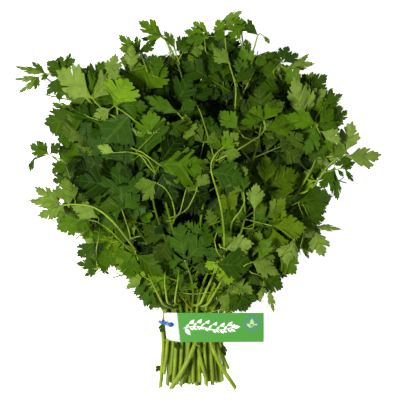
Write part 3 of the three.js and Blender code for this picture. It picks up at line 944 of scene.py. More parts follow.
# Sprays that lie on top: lift over the leaves below, stalk radius, the places that the stalk
# passes, and leaflets from base to tip with breadth, lightness and 1 face or -1 underside up.
SPRAYS = [
    (2, 0.6, [(84, 92), (64, 78), (52, 73), (46, 73)], [
        (46, 73, 17, 64, 0.2, 0.5, -1), (46, 73, 31, 61, 0.36, 0.45, 1), (50, 74, 41, 80, 0.5, 0.4, 1),
        (40, 76, 15, 80, 0.2, 0.7, -1), (40, 76, 19, 91, 0.24, 0.65, -1),
        (39, 76, 36, 89, 0.45, 0.6, 1)]),
    (3, 0.6, [(86, 96), (72, 88), (64, 74)], [
        (63, 72, 47, 60, 0.5, 0.45, 1), (66, 76, 49, 70, 0.55, 0.4, 1),
        (62, 72, 61, 55, 0.8, 0.6, 1), (66, 67, 72, 52, 0.3, 0.45, 1),
        (65, 66, 77, 61, 0.6, 0.45, 1), (60, 78, 49, 95, 0.55, 0.35, 1), (60, 78, 62, 100, 0.5, 0.4, 1),
        (63, 78, 71, 93, 0.5, 0.4, 1)]),
    (5, 0.8, [(112, 118), (103, 109), (96, 101), (94, 97)], [
        (112, 77, 117, 57, 0.7, 0.8, -1), (92, 98, 61, 75, 0.75, 0.85, -1),
        (94, 94, 87, 66, 0.45, 0.4, 1), (95, 94, 106, 61, 0.7, 0.7, 1),
        (97, 98, 119, 73, 0.85, 0.75, -1)]),
    (7, 0.8, [(143, 131), (134, 119), (124, 112), (116, 107)], [
        (117, 106, 128, 80, 1.15, 1.0, 1), (112, 110, 97, 118, 0.75, 0.8, -1)]),
    (3, 0.6, [(104, 122), (92, 118)], [
        (86, 118, 46, 124, 0.85, 0.3, 1), (84, 114, 52, 104, 0.25, 0.7, 1)]),
    (4, 0.7, [(150, 168), (146, 160), (138, 152)], [
        (131, 116, 98, 154, 1.2, 0.1, 1), (146, 158, 150, 112, 0.85, 0.3, 1),
        (164, 128, 188, 131, 0.6, 0.15, 1)]),
    (8, 0.6, [(158, 168), (146, 156), (130, 152), (115, 153)], [
        (116, 153, 102, 145, 0.5, 1.0, -1)]),
    (3, 0.6, [(72, 164), (60, 158), (50, 154)], [
        (49, 153, 29, 146, 0.6, 0.55, 1), (49, 152, 41, 141, 0.6, 0.5, 1),
        (52, 153, 61, 143, 0.8, 0.15, 1), (48, 155, 33, 158, 0.2, 0.4, 1),
        (36, 156, 28, 171, 0.3, 0.35, 1), (68, 164, 53, 172, 0.7, 0.35, 1),
        (71, 178, 55, 183, 0.7, 0.3, 1)]),
    (15, 1.1, [(134, 250), (131, 240), (118, 222), (106, 211), (94, 204), (80, 203), (66, 204)], [
        (63, 202, 38, 189, 0.46, 0.7, -1), (64, 204, 34, 200, 0.3, 0.75, -1),
        (60, 203, 57, 188, 0.6, 0.65, -1), (66, 205, 43, 216, 0.55, 0.7, -1),
        (66, 206, 60, 222, 0.6, 0.65, -1), (72, 204, 70, 178, 0.8, 0.45, -1),
        (78, 198, 72, 182, 0.8, 0.6, -1)]),
    (12, 0.65, [(138, 262), (128, 245), (112, 228), (98, 219), (84, 218)], [
        (84, 218, 60, 231, 0.7, 0.7, 1), (100, 216, 78, 204, 0.6, 0.7, -1),
        (92, 216, 80, 230, 0.7, 0.6, 1)]),
    (7, 0.7, [(134, 252), (131, 230), (124, 208)], [
        (124, 206, 119, 164, 0.95, 0.2, 1), (122, 207, 98, 194, 1.0, 0.2, 1),
        (122, 209, 106, 222, 0.8, 0.25, 1), (126, 207, 141, 194, 0.8, 0.35, 1)]),
    (6, 0.7, [(140, 262), (136, 250)], [
        (135, 252, 112, 259, 0.65, 0.6, 1), (135, 254, 129, 277, 0.75, 0.6, 1),
        (138, 254, 163, 272, 0.65, 0.35, 1)]),
    (9, 0.7, [(128, 148), (143, 152), (154, 160), (162, 166)], [
        (162, 164, 204, 166, 0.82, 0.62, 1), (164, 167, 180, 186, 0.55, 0.62, 1)]),
    (8, 0.8, [(177, 228), (176, 212), (172, 196), (165, 186), (154, 181)], [
        (158, 182, 137, 186, 0.6, 0.4, -1), (156, 184, 144, 198, 0.6, 0.45, -1)]),
    (8, 0.6, [(178, 222), (182, 206), (185, 194), (187, 187)], [(187, 188, 190, 180, 0.6, 0.7, 1)]),
    (8, 0.7, [(184, 216), (190, 204), (196, 192), (197, 186)], [
        (198, 190, 187, 178, 0.8, 0.4, -1), (198, 186, 208, 174, 0.8, 0.55, -1)]),
    (10, 1.1, [(221, 258), (225, 236), (222, 212), (217, 190), (211, 174), (210, 164), (214, 155),
               (222, 148)], [
        (220, 150, 230, 138, 0.9, 0.85, 1), (212, 172, 242, 177, 0.95, 0.22, 1),
        (222, 148, 208, 141, 0.7, 0.5, 1)]),
    (10, 0.9, [(225, 236), (231, 220), (240, 209), (244, 200), (242, 191)], [
        (241, 190, 226, 184, 0.75, 0.5, -1), (242, 190, 246, 176, 0.7, 0.5, 1)]),
    (8, 0.8, [(236, 152), (248, 143), (258, 137), (264, 130)], [
        (265, 129, 297, 126, 0.62, 0.75, 1), (262, 120, 249, 106, 0.8, 0.7, 1),
        (263, 120, 278, 101, 0.75, 0.75, 1), (260, 121, 240, 124, 0.6, 0.6, 1)]),
    (7, 0.7, [(316, 150), (314, 134), (304, 118)], [
        (302, 118, 292, 80, 0.5, 0.8, -1), (306, 116, 306, 86, 0.45, 0.75, -1)]),
    (8, 0.8, [(322, 146), (318, 134), (314, 125)], [
        (320, 132, 338, 142, 0.7, 0.9, -1), (318, 140, 331, 152, 0.6, 0.8, 1),
        (314, 124, 285, 116, 0.62, 0.8, 1), (313, 126, 302, 152, 0.75, 0.6, 1),
        (317, 124, 332, 108, 0.6, 0.6, 1), (318, 126, 336, 130, 0.8, 0.6, 1)]),
    (9, 0.9, [(228, 124), (234, 108), (236, 90), (233, 78), (228, 62), (225, 46), (225, 38)], [
        (225, 40, 214, 32, 0.8, 0.55, 1), (235, 84, 250, 66, 0.5, 0.3, 1),
        (229, 64, 214, 50, 0.7, 0.6, -1)]),
    (3, 0.7, [(250, 62), (254, 48), (257, 36), (260, 32), (266, 40)], [
        (257, 34, 240, 19, 0.62, 0.35, 1), (264, 35, 269, 44, 0.45, 0.6, -1),
        (249, 54, 246, 38, 0.45, 0.5, 1)]),
    (3, 0.6, [(244, 54), (240, 40), (234, 26)], [
        (220, 23, 242, 10, 0.34, 0.7, -1), (234, 18, 222, 29, 0.6, 0.6, -1),
        (244, 25, 229, 39, 0.7, 0.8, 1), (238, 28, 236, 14, 0.8, 0.85, 1)]),
    (3, 0.7, [(174, 66), (170, 50), (166, 40), (160, 36)], [
        (163, 37, 140, 18, 0.5, 0.8, 1), (163, 35, 141, 39, 0.36, 0.8, 1),
        (175, 48, 164, 31, 0.42, 0.6, 1)]),
    (3, 0.7, [(150, 80), (146, 66), (140, 52)], [
        (141, 53, 117, 37, 0.34, 0.75, 1), (140, 52, 135, 36, 0.5, 0.7, 1),
        (140, 54, 120, 50, 0.6, 0.75, 1), (139, 52, 158, 42, 0.4, 0.6, 1),
        (142, 66, 127, 58, 0.8, 0.85, 1),
        (158, 76, 154, 53, 0.7, 0.6, 1), (132, 70, 134, 48, 0.6, 0.85, -1)]),
    (3, 0.7, [(182, 70), (177, 56), (174, 47)], [
        (177, 50, 187, 36, 0.75, 0.35, 1), (178, 50, 190, 46, 0.5, 0.4, 1)]),
    (3, 0.6, [(206, 60), (205, 44), (204, 34)], [
        (208, 33, 193, 20, 0.45, 0.9, 1), (207, 36, 184, 30, 0.45, 0.75, 1),
        (223, 34, 216, 19, 0.7, 0.85, 1), (207, 38, 186, 40, 0.6, 0.6, 1)]),
    (2, 0.7, [(268, 76), (276, 68), (282, 60)], [
        (282, 60, 287, 45, 0.75, 0.2, 1), (283, 62, 298, 52, 0.6, 0.25, 1),
        (287, 69, 312, 62, 0.35, 0.85, -1), (287, 68, 308, 55, 0.3, 0.8, -1),
        (280, 60, 273, 50, 0.6, 0.3, 1), (279, 58, 263, 53, 0.4, 0.25, 1)]),
    (3, 0.6, [(290, 110), (300, 100), (304, 92)], [
        (308, 105, 324, 92, 0.7, 0.85, -1), (310, 109, 327, 105, 0.7, 0.8, 1),
        (306, 92, 328, 75, 0.5, 0.5, 1), (305, 94, 316, 74, 0.55, 0.6, 1),
        (304, 96, 319, 99, 0.7, 0.45, 1)]),
    (2, 0.6, [(310, 124), (318, 112), (322, 106)], [
        (321, 106, 333, 88, 0.4, 0.55, 1), (323, 106, 341, 93, 0.4, 0.6, 1),
        (324, 109, 342, 107, 0.6, 0.6, 1), (330, 122, 347, 109, 0.42, 0.65, 1)]),
    (3, 1.0, [(308, 200), (314, 184), (320, 174), (330, 161), (344, 155)], [
        (344, 150, 353, 125, 0.72, 1.0, -1), (346, 156, 377, 158, 0.62, 1.1, -1),
        (346, 153, 328, 145, 0.8, 0.45, -1), (352, 157, 333, 164, 0.5, 0.4, 1)]),
    (3, 0.8, [(314, 186), (322, 172), (334, 169)], [
        (332, 168, 321, 189, 0.6, 0.4, 1), (333, 170, 336, 200, 0.3, 0.5, 1),
        (338, 168, 354, 162, 0.5, 0.55, 1), (343, 168, 351, 182, 0.3, 0.6, 1),
        (336, 169, 342, 176, 0.5, 0.6, 1)]),
    (3, 0.6, [(286, 206), (300, 200)], [
        (300, 200, 332, 196, 0.65, 0.6, 1), (300, 204, 327, 211, 0.6, 0.65, 1),
        (304, 216, 325, 217, 0.5, 0.6, 1), (314, 225, 338, 230, 0.24, 0.9, -1)]),
    (3, 0.6, [(284, 226), (296, 228), (304, 230)], [
        (313, 230, 321, 254, 0.72, 0.85, -1), (300, 246, 309, 257, 0.3, 0.7, 1),
        (302, 236, 312, 228, 0.8, 0.6, -1)]),
    (4, 0.6, [(276, 226), (286, 232), (292, 238)], [
        (293, 238, 284, 262, 0.75, 0.95, -1), (280, 256, 296, 271, 0.8, 0.75, 1)]),
    (3, 0.6, [(228, 288), (236, 290), (242, 294)], [
        (240, 292, 247, 310, 0.6, 0.25, 1), (236, 292, 232, 310, 0.7, 0.35, 1),
        (244, 294, 256, 300, 0.6, 0.4, 1), (228, 290, 222, 309, 0.5, 0.5, -1)]),
    (3, 0.6, [(246, 270), (256, 272), (264, 276)], [
        (262, 276, 284, 284, 0.75, 0.4, 1), (268, 288, 272, 309, 0.3, 0.75, -1),
        (262, 286, 260, 299, 0.45, 0.8, -1)]),
    (-12, 0.6, [(196, 172), (200, 158), (204, 142)], [
        (204, 142, 208, 116, 0.8, 0.2, 1), (203, 143, 190, 126, 0.7, 0.15, -1),
        (205, 143, 222, 130, 0.7, 0.3, 1)]),
    (-8, 0.6, [(190, 160), (186, 150), (183, 142)], [
        (183, 142, 189, 118, 0.8, 0.5, -1), (182, 142, 172, 124, 0.7, 0.35, 1)]),
    (4, 0.6, [(244, 140), (238, 132)], [(237, 131, 221, 111, 0.6, 0.65, 1)]),
    (4, 0.6, [(186, 122), (178, 114)], [
        (178, 113, 144, 101, 0.45, 0.5, 1), (180, 112, 196, 102, 0.6, 0.35, 1)]),
    (-6, 0.6, [(206, 130), (200, 112), (194, 100)], [
        (194, 100, 186, 82, 0.7, 0.4, 1), (194, 100, 208, 88, 0.7, 0.3, 1),
        (192, 101, 176, 96, 0.6, 0.35, -1)]),
    (9, 0.7, [(224, 262), (216, 248), (214, 238), (217, 230)], [(217, 232, 224, 224, 0.6, 0.6, 1)]),
    (9, 0.7, [(217, 238), (220, 245), (227, 248)], [
        (226, 247, 251, 240, 0.75, 1.0, -1), (224, 250, 203, 251, 0.45, 0.25, 1)]),
    (7, 0.7, [(212, 276), (214, 268), (217, 262)], [
        (217, 262, 250, 264, 0.85, 0.2, 1), (216, 260, 206, 250, 0.6, 0.3, 1)]),
    (7, 0.7, [(240, 266), (246, 262), (252, 260)], [
        (252, 260, 278, 269, 0.55, 0.7, -1), (258, 256, 270, 238, 0.6, 0.75, 1)]),
    (7, 0.6, [(252, 232), (253, 220), (253, 208)], [(253, 208, 255, 183, 0.62, 0.8, -1)]),
    (4, 0.7, [(104, 232), (98, 244), (97, 258), (98, 266)], [
        (96, 242, 79, 255, 0.75, 0.25, 1), (99, 266, 76, 263, 0.36, 0.35, 1),
        (100, 264, 109, 274, 0.4, 0.35, 1), (99, 268, 84, 274, 0.4, 0.35, 1)]),
    (3, 0.6, [(156, 290), (152, 280), (146, 276)], [
        (142, 276, 128, 288, 0.5, 0.8, -1), (149, 288, 142, 305, 0.5, 0.4, 1),
        (153, 290, 152, 310, 0.4, 0.45, 1), (147, 284, 135, 292, 0.45, 0.4, 1)]),
    (6, 1.5, [(198, 309), (202, 298), (208, 284), (217, 266)], []),
    (5, 1.3, [(204, 309), (209, 300), (217, 286), (228, 268)], []),
    (4, 1.3, [(166, 309), (162, 300), (154, 284), (144, 262)], []),
    (5, 1.1, [(170, 309), (167, 298), (165, 280), (166, 260)], []),
    (4, 1.0, [(176, 309), (175, 298), (178, 280), (180, 262)], []),
]


# Cut stalks that stray from the rest below the label, and scraps of leaf on them: radius and
# places with their height in millimetres; then base, tip, height, breadth and lightness.
STRAY_STALKS = [
    (2.3, [(201, 316, 24), (198, 336, 31), (190, 356, 33), (181, 373, 31), (171, 389, 27)]),
    (2.1, [(205, 316, 24), (209, 338, 31), (215, 355, 33), (224, 371, 29), (236, 389, 21)]),
    (1.9, [(170, 296, 24), (165, 310, 22), (162, 326, 19), (163, 350, 17), (160, 389, 12)]),
    (1.5, [(210, 318, 16), (219, 340, 20), (223, 356, 18), (229, 370, 13)]),
]
SCRAPS = [(163, 322, 161, 333, 24, 0.75, 0.35), (162, 366, 155, 373, 14, 0.8, 0.25),
          (222, 343, 226, 357, 20, 0.5, 0.15), (174, 341, 178, 350, 30, 0.6, 0.1),
          (200, 346, 203, 353, 33, 0.6, 0.6)]


def crown(x, y):
    """Height of the top of the bunch at a place."""
    return max(max(blade.joint[2] - 0.012 * ((blade.joint[0] - x) ** 2 + (blade.joint[1] - y) ** 2)
                   for stem in stems for blade in stem.blades), 5)


def spray_stem(start):
    """The stem and the point on it that a spray grows from: the highest within reach."""
    best = None
    for stem in stems:
        if STALKS[stem.number][2] == 0:
            continue
        for share in np.linspace(0.3, 0.96, 45):
            point = stem.path.point(share)
            away = math.hypot(point[0] - start[0], point[1] - start[1])
            score = point[2] - (3.0 * max(away - 7, 0))
            if best is None or score > best[0]:
                best = (score, stem.number, point)
    return best[1], best[2]


def roof_over(x, y):
    """Height of the highest main leaf near a place: what is added stays under it."""
    near = [blade.joint[2] for stem in stems for blade in stem.blades
            if math.hypot(blade.joint[0] - x, blade.joint[1] - y) < ROOF_REACH]
    return max(near, default=ROOF_LOW)


def extra_blades(stem):
    """Further leaves: small ones on the way to each side leaf and pairs lower on the stalk."""
    number = stem.number
    _, _, z, _, length, side = STALKS[number]
    found = []
    for blade in list(stem.blades):
        if blade.arch == 0:
            continue
        for hand in (-1, 1):
            key = (number, 20 + 2 * blade.key[1] + (hand > 0))
            share = between(0.45, 0.75, draw(*key, 1))
            if blade.root is None:
                root = stem.path.point(1 - between(9, 17, share) / stem.path.length)
            else:
                root = blade.root + (blade.joint - blade.root) * share
            out = unit(np.cross(blade.ahead, blade.normal) * hand + blade.ahead * 0.7
                       + blade.normal * between(-0.3, 0.3, draw(*key, 2)))
            reach = between(3, 7, draw(*key, 3))
            normal = unit(blade.normal + 0.4 * out * between(-1, 1, draw(*key, 4)))
            normal = squared(normal, out)
            found.append(Blade(root + out * reach, out, normal,
                               blade.length * between(0.5, 0.72, draw(*key, 5)),
                               0.12, root, key, True))
    back = between(34, 46, draw(number, 7, 1)) + 0.2 * length
    for pair in range(9):
        share = 1 - back / stem.path.length
        if share < 0.3:
            break
        root, tangent = stem.path.point(share), stem.path.tangent(share)
        along = math.degrees(math.atan2(tangent[0], tangent[1]))
        for hand in (-1, 1):
            key = (number, 40 + 2 * pair + (hand > 0))
            for attempt in range(8):
                size = between(18, 32, draw(*key, 10 + attempt)) * (1 - 0.04 * attempt)
                turned = along + hand * between(35, 85, draw(*key, 20 + attempt))
                slope = between(12, 60, draw(*key, 30 + attempt)) if z == 0 else \
                    between(-25, 42, draw(*key, 30 + attempt))
                ahead = heading_vector(turned, slope)
                reach = between(14, 36, draw(*key, 40 + attempt)) * (1 - 0.06 * attempt)
                joint = root + ahead * reach
                tilt = tilted(1.4, key, 50 + attempt, 60 + attempt)
                ahead = unit(ahead * (1, 1, 0.5))
                tip = joint + ahead * size
                if min(joint[2], tip[2]) < LOW_LEAF_FLOOR or tip[1] < LOW_LEAF_END:
                    continue
                if max(joint[2], tip[2]) > roof_over(*tip[:2]) - 10:
                    continue
                # no high leaf where a dark hollow is painted
                if tip[2] > 34 and painted_light_and_shade_at(*tip[:2]) < HOLLOW:
                    continue
                if inside_head(*tip[:2]) and inside_head(*joint[:2]):
                    normal = face_direction(joint, ahead, side if draw(*key, 70) < 0.8 else -side,
                                            tilt)
                    found.append(Blade(joint, ahead, normal, size, BLADE_ARCH, root, key))
                    break
        back += between(15, 25, draw(number, 8 + pair, 1))
    return found


def spots_of(blade, shape, ahead, across):
    """Layout places on a leaflet, as shares of its length and half breadth."""
    angle = math.radians(shape.turn)
    y = np.asarray(ahead, float) * shape.length
    x = np.asarray(across, float) * 0.45 * shape.length * shape.breadth * math.cos(shape.roll)
    return blade.local(shape.base[0] + x * math.cos(angle) + y * math.sin(angle),
                       shape.base[1] - x * math.sin(angle) + y * math.cos(angle))[:, :2]


def fit_inside(blade, shape):
    """Shortens and narrows a leaflet until it lies inside the head."""
    full, wide = shape.length, shape.breadth
    for share in (1, 0.86, 0.72, 0.58):
        shape.length, shape.breadth = full * share, wide * (0.4 + 0.6 * share)
        edges = spots_of(blade, shape, [0.9, 0.6, 0.6], [0, -0.5, 0.5])
        if all(inside_head(*place) for place in edges):
            return True
    return False


def planned_leaflets(blade):
    """The leaflets of a blade that lie inside the head; the sprays stand for the others."""
    kept = [shape for shape in leaflets_of(blade) if fit_inside(blade, shape)]
    if blade.key[1] < 3:
        return kept
    return [shape for shape in kept
            if spots_of(blade, shape, [0, 1], [0, 0])[:, 1].min() > LABEL_TOP + 3]


def rim_leaves():
    """Leaves that hang down round the low outer sides of the head."""
    edge = np.array(HEAD_EDGE + HEAD_EDGE[:1])
    lengths = np.linalg.norm(np.diff(edge, axis=0), axis=1)
    total = np.concatenate([[0], np.cumsum(lengths)])
    for i, at in enumerate(np.arange(0, total[-1], RIM_STEP)):
        place = np.array([np.interp(at, total, edge[:, k]) for k in (0, 1)])
        if place[1] < RIM_END:
            continue
        inward = unit(np.array([HEAD[0], HEAD[1]]) - place)
        for layer in RIM_LAYERS:
            size = between(17, 25, draw(i, 93 + layer, 1))
            tip = np.append(place + inward * between(3, 9, draw(i, 93 + layer, 2)),
                            (between(4, 16, draw(i, 93 + layer, 3)),
                             between(18, 36, draw(i, 93 + layer, 4)))[layer])
            slope = between(-50, 5, draw(i, 93 + layer, 5)) if layer else \
                between(-20, 25, draw(i, 93 + layer, 5))
            turn = math.degrees(math.atan2(-inward[0], -inward[1]))
            ahead = heading_vector(turn + between(-40, 40, draw(i, 93 + layer, 6)), slope)
            joint = tip - ahead * size
            if not 3 < joint[2] < roof_over(*joint[:2]) - 8 or not inside_head(*joint[:2]):
                continue
            number, root = nearest_stalk(joint)
            normal = unit(UP + np.append(-inward, 0) * between(0, 1.2, draw(i, 93 + layer, 7)))
            normal = squared(normal, ahead)
            stems[number].extra.append(Blade(joint, ahead, normal, size, 0.12, root,
                                             (number, 400 + 2 * i + layer)))


def nearest_stalk(joint):
    """The stem whose stalk passes closest to a joint, and the point on it."""
    return min(((stem.number, stem.path.point(share)) for stem in stems
                if STALKS[stem.number][2] for share in (0.5, 0.6, 0.7, 0.8, 0.9)),
               key=lambda found: np.linalg.norm(found[1] - joint))


def fill_gaps():
    """Low leaves, painted dark as shade, wherever nothing else covers the surface under the head and at
    the places painted as dark hollows.
    """
    xs, ys = np.arange(-156, 160, GAP_STEP), np.arange(LABEL_TOP + 4, 166, GAP_STEP)
    grid_x, grid_y = np.meshgrid(xs, ys)
    open_cells = np.array([[inside_head(x, y) for x in xs] for y in ys])

    def cover(blade):
        for shape in planned_leaflets(blade):
            for x, y in spots_of(blade, shape, [0.15, 0.4, 0.4, 0.65, 0.65, 0.88],
                                 [0, -0.5, 0.5, -0.45, 0.45, 0]):
                near = np.hypot(grid_x - x, grid_y - y) < 0.12 * shape.length * shape.breadth
                open_cells[near] = False

    for stem in stems:
        for blade in stem.blades + stem.extra:
            cover(blade)
    hollows = [spot(*place[:2]) for place in
               [zone for zone in PAINTED_LIGHT_AND_SHADE if zone[3] < 0] + GROUND_PLACES]
    gaps = [(xs[column], ys[row]) for row, column in zip(*np.nonzero(open_cells))]
    added = 0
    for x, y in hollows + gaps:
        row, column = int(round((y - ys[0]) / GAP_STEP)), int(round((x - xs[0]) / GAP_STEP))
        if added >= len(hollows) and not open_cells[row, column]:
            continue
        added += 1
        size = between(19, 27, draw(added, 90, 1)) + 6 * (added <= len(hollows))
        turn = math.degrees(math.atan2(x - TIE[0], y - TIE[1])) + between(-50, 50, draw(added, 90, 2))
        ahead = heading_vector(turn, between(-6, 10, draw(added, 90, 3)))
        joint = np.array([x, y, between(7, 26, draw(added, 90, 4))]) - ahead * 0.25 * size
        number, root = nearest_stalk(joint)
        normal = unit(UP + tilted(0.4, (added, 90), 5, 6))
        normal = squared(normal, ahead)
        blade = Blade(joint, ahead, normal, size, 0.1, root, (number, 200 + added))
        stems[number].extra.append(blade)
        cover(blade)
        open_cells[row, column] = False


def grow_spray(number, lift, radius, stalk, leaflets, patterns, rod):
    """A spray that lies on top: its stalk and leaflets, and the stem that it grows from."""
    line = [spot(*place) for place in stalk]
    owner, root = spray_stem(line[0])
    along = np.linspace(0, 1, SPRAY_STEPS)
    knots = np.linspace(0, 1, len(line))
    path = np.array([[np.interp(t, knots, [p[k] for p in line]) for k in (0, 1)] for t in along])
    path = smoothed(path, 3)
    tops = smoothed(np.array([min(crown(x, y) + lift, SPRAY_CEILING) for x, y in path]), 4)
    if not leaflets:  # a bare stalk goes down between the leaves at its end
        tops[-8:] -= np.linspace(0, 6, 8) ** 2
    join = np.clip(along * 3.5, 0, 1)[:, None]
    join = join * join * (3 - 2 * join)
    points = np.column_stack([path, tops])
    points = root * (1 - join) + points * join
    radii = np.linspace(radius, radius * 0.62, SPRAY_STEPS)
    tube = run_along(rod, points, radii, 0.8, between(0.75, 1.0, draw(number, 3, 9)))
    leaves = []
    for i, (bx, by, tx, ty, breadth, tone, face) in enumerate(leaflets):
        seed = (60 + number, i)
        base, tip = np.array([*spot(bx, by), 0.0]), np.array([*spot(tx, ty), 0.0])
        base += 0.08 * (base - tip)  # the wedge at the foot of a leaflet is narrow
        span = np.linalg.norm(tip - base)
        base[2] = min(crown(base[0], base[1]) + lift, SPRAY_CEILING)
        tip[2] = min(crown(tip[0], tip[1]) + lift, SPRAY_CEILING + 1)
        tip[2] = min(max(tip[2], base[2] - 0.45 * span), base[2] + 0.3 * span)
        ahead = unit(tip - base)
        tilt = tilted(0.45, seed, 1, 2)
        normal = unit(UP + tilt - ahead * (UP + tilt).dot(ahead)) * face
        blade = Blade(base, ahead, normal, np.linalg.norm(tip - base), 0.05)
        shape = Leaflet((0, 0), 0.0, blade.length * 1.04, breadth * 1.15,
                        between(0.05, 0.35, draw(*seed, 3)), between(0.0, 0.12, draw(*seed, 4)),
                        between(0.02, 0.06, draw(*seed, 5)))
        leaves.append(grow_leaflet(patterns, blade, shape, seed, tone,
                                   between(-0.9, 0.3, draw(*seed, 6)) * (1 - tone)))
        away = np.linalg.norm(points[:, :2] - base[:2], axis=1)
        nearest_point = points[int(np.argmin(away[4:])) + 4]
        if 1.0 < away.min() < 30:
            joint = bowed(nearest_point, base, 0.4)
            spray_twigs.append((owner, joint, radius * 0.55))
    return owner, [tube], leaves


def grow_strays(patterns, rod, twig):
    """The stray stalks and leaf scraps, each with the stem that it goes with."""
    found = []
    for i, (radius, places) in enumerate(STRAY_STALKS):
        line = np.array([[*spot(across, down), z] for across, down, z in places])
        steps = np.linspace(0, len(line) - 1, SPRAY_STEPS)
        line = np.array([[np.interp(t, range(len(line)), line[:, k]) for k in range(3)]
                         for t in steps])
        line = smoothed(line, 3)
        owner = min(stems, key=lambda stem: np.linalg.norm(stem.path.point(0.2) - line[0])).number
        tube = run_along(rod, line[::-1], np.linspace(radius, 0.8 * radius, SPRAY_STEPS), 1.0,
                         between(0.75, 1.0, draw(i, 91, 1)), 0.6)
        leaves, tubes = [], [tube]
        for k, (bx, by, tx, ty, z, breadth, tone) in enumerate(SCRAPS):
            base = np.array([*spot(bx, by), z])
            tip = np.array([*spot(tx, ty), z + 1.0])
            nearest_stray = min(range(len(STRAY_STALKS)), key=lambda j: min(
                math.hypot(bx - p[0], by - p[1]) for p in STRAY_STALKS[j][1]))
            if nearest_stray != i:
                continue
            ahead = unit(tip - base)
            blade = Blade(base, ahead, unit(UP - ahead * ahead[2]), np.linalg.norm(tip - base), 0.1)
            leaves.append(grow_leaflet(patterns, blade, Leaflet((0, 0), 0, blade.length, breadth),
                                       (92, k), tone, 0.0))
            start = line[int(np.argmin(np.linalg.norm(line - base, axis=1)))]
            tubes.append(run_along(twig, bowed(start, base, 0.3), [0.5] * 5, 0.3, 0.8))
        found.append((owner, tubes, leaves))
    return found



def dress_stem(stem, patterns, fine, rod, twig, leaf_finish, stalk_finish):
    """The leaves, stalk and branches of one stem, which stand for its solid."""
    number = stem.number
    node = f"leafy_stem_{number + 1:02d}"
    neck = STALK_NECK * 0.85
    leaves, tubes = [], []
    for owner, spray_tubes, spray_leaves in sprays:
        if owner == number:
            tubes.extend(spray_tubes)
            leaves.extend(spray_leaves)
    for owner, line, thick in spray_twigs:
        if owner == number:
            tubes.append(run_along(twig, line, np.linspace(thick, thick * 0.8, 5), 0.4, 0.9))
    for blade in stem.blades + stem.extra:
        # lower leaves are older and darker, and are painted darker still the deeper they lie under the
        # leaves above: painted shade
        main = blade.key[1] < 3
        tone = STEM_TONES[number] + between(-0.13, 0.13, draw(*blade.key, 30))
        if not main:
            deep = min(max((roof_over(*blade.joint[:2]) - blade.joint[2] - 14) / 34, 0), 1)
            tone = tone * (1 - 0.4 * deep) - 0.16 * deep
        middle = blade.joint + blade.ahead * 0.4 * blade.length
        # painted light and shade by place: darker in hollows, lighter where the light falls less
        tone += painted_light_and_shade_at(*middle[:2]) * 0.85
        # leaves with a dark tone, painted shade included, take less of the age tints
        age = between(-1, 1, draw(*blade.key, 31)) ** 3 * min(max(2.5 * tone + 0.2, 0.1), 1)
        part_tone = tone
        for i, shape in enumerate(planned_leaflets(blade)):
            seed = (number, 100 + blade.key[1] * 4 + i)
            part_tone = tone + between(-0.06, 0.06, draw(*seed, 32))
            leaves.append(grow_leaflet(fine if main else patterns, blade, shape, seed, part_tone,
                                       age))
        if blade.root is not None:
            sag = 0 if blade.arch == 0 else between(-1.0, 1.6, draw(*blade.key, 33))
            thick = 0.5 if blade.small else 0.8 if main else 0.6
            line = bowed(blade.root, blade.joint, sag)
            if blade.arch == 0:
                line[:, 2] = np.maximum(line[:, 2], 0.75)
            tubes.append(run_along(twig, line, np.linspace(thick, 0.5 * thick + 0.15, 5), 0.4,
                                   part_tone if main else part_tone - 0.1))
    shares = np.linspace(0, 1, 61)
    line = np.array([stem.path.point(share) for share in shares])
    radii = stem.radius + (neck - stem.radius) * np.clip((shares - 0.15) / 0.85, 0, 1)
    if STALKS[number][2] == 0:
        line[:, 2] = np.maximum(line[:, 2], radii + 0.02)
    tubes.append(run_along(rod, line, radii, between(-1.2, 1.2, draw(number, 0, 6)),
                           between(0.0, 0.8, draw(number, 0, 7)),
                           between(-0.9, 0.9, draw(number, 0, 8))))
    keep(join_as(leaves, f"{node}_leaves", leaf_finish), "leaf", node)
    keep(join_as(tubes, f"{node}_stalk", stalk_finish), "stem", node)


# ------------------------------------------------------------------ label and tie
def card_height(x):
    """Height of the middle of the card, which curls down at the tab."""
    past = np.maximum(0.0, LABEL_BEND_FROM - np.asarray(x, float))
    return TIE[2] + LABEL_HEIGHT - LABEL_BEND * past**2


def rounded(x, y, radius, first, last, steps=6):
    """Points round a corner whose circle is at (x, y), between two angles in degrees."""
    return [(x + radius * math.cos(math.radians(a)), y + radius * math.sin(math.radians(a)))
            for a in np.linspace(first, last, steps)]


def flat_outline(name, outlines):
    """A flat filled curve from closed outlines in layout millimetres, made a mesh."""
    curve = bpy.data.curves.new(name, "CURVE")
    curve.dimensions, curve.fill_mode = "2D", "BOTH"
    for outline in outlines:
        spline = curve.splines.new("POLY")
        spline.points.add(len(outline) - 1)
        for point, (x, y) in zip(spline.points, outline):
            point.co = (x, y, 0, 1)
        spline.use_cyclic_u = True
    sheet = bpy.data.objects.new(name, curve)
    bpy.context.scene.collection.objects.link(sheet)
    focus(sheet)
    bpy.ops.object.convert(target="MESH")
    return bpy.context.object


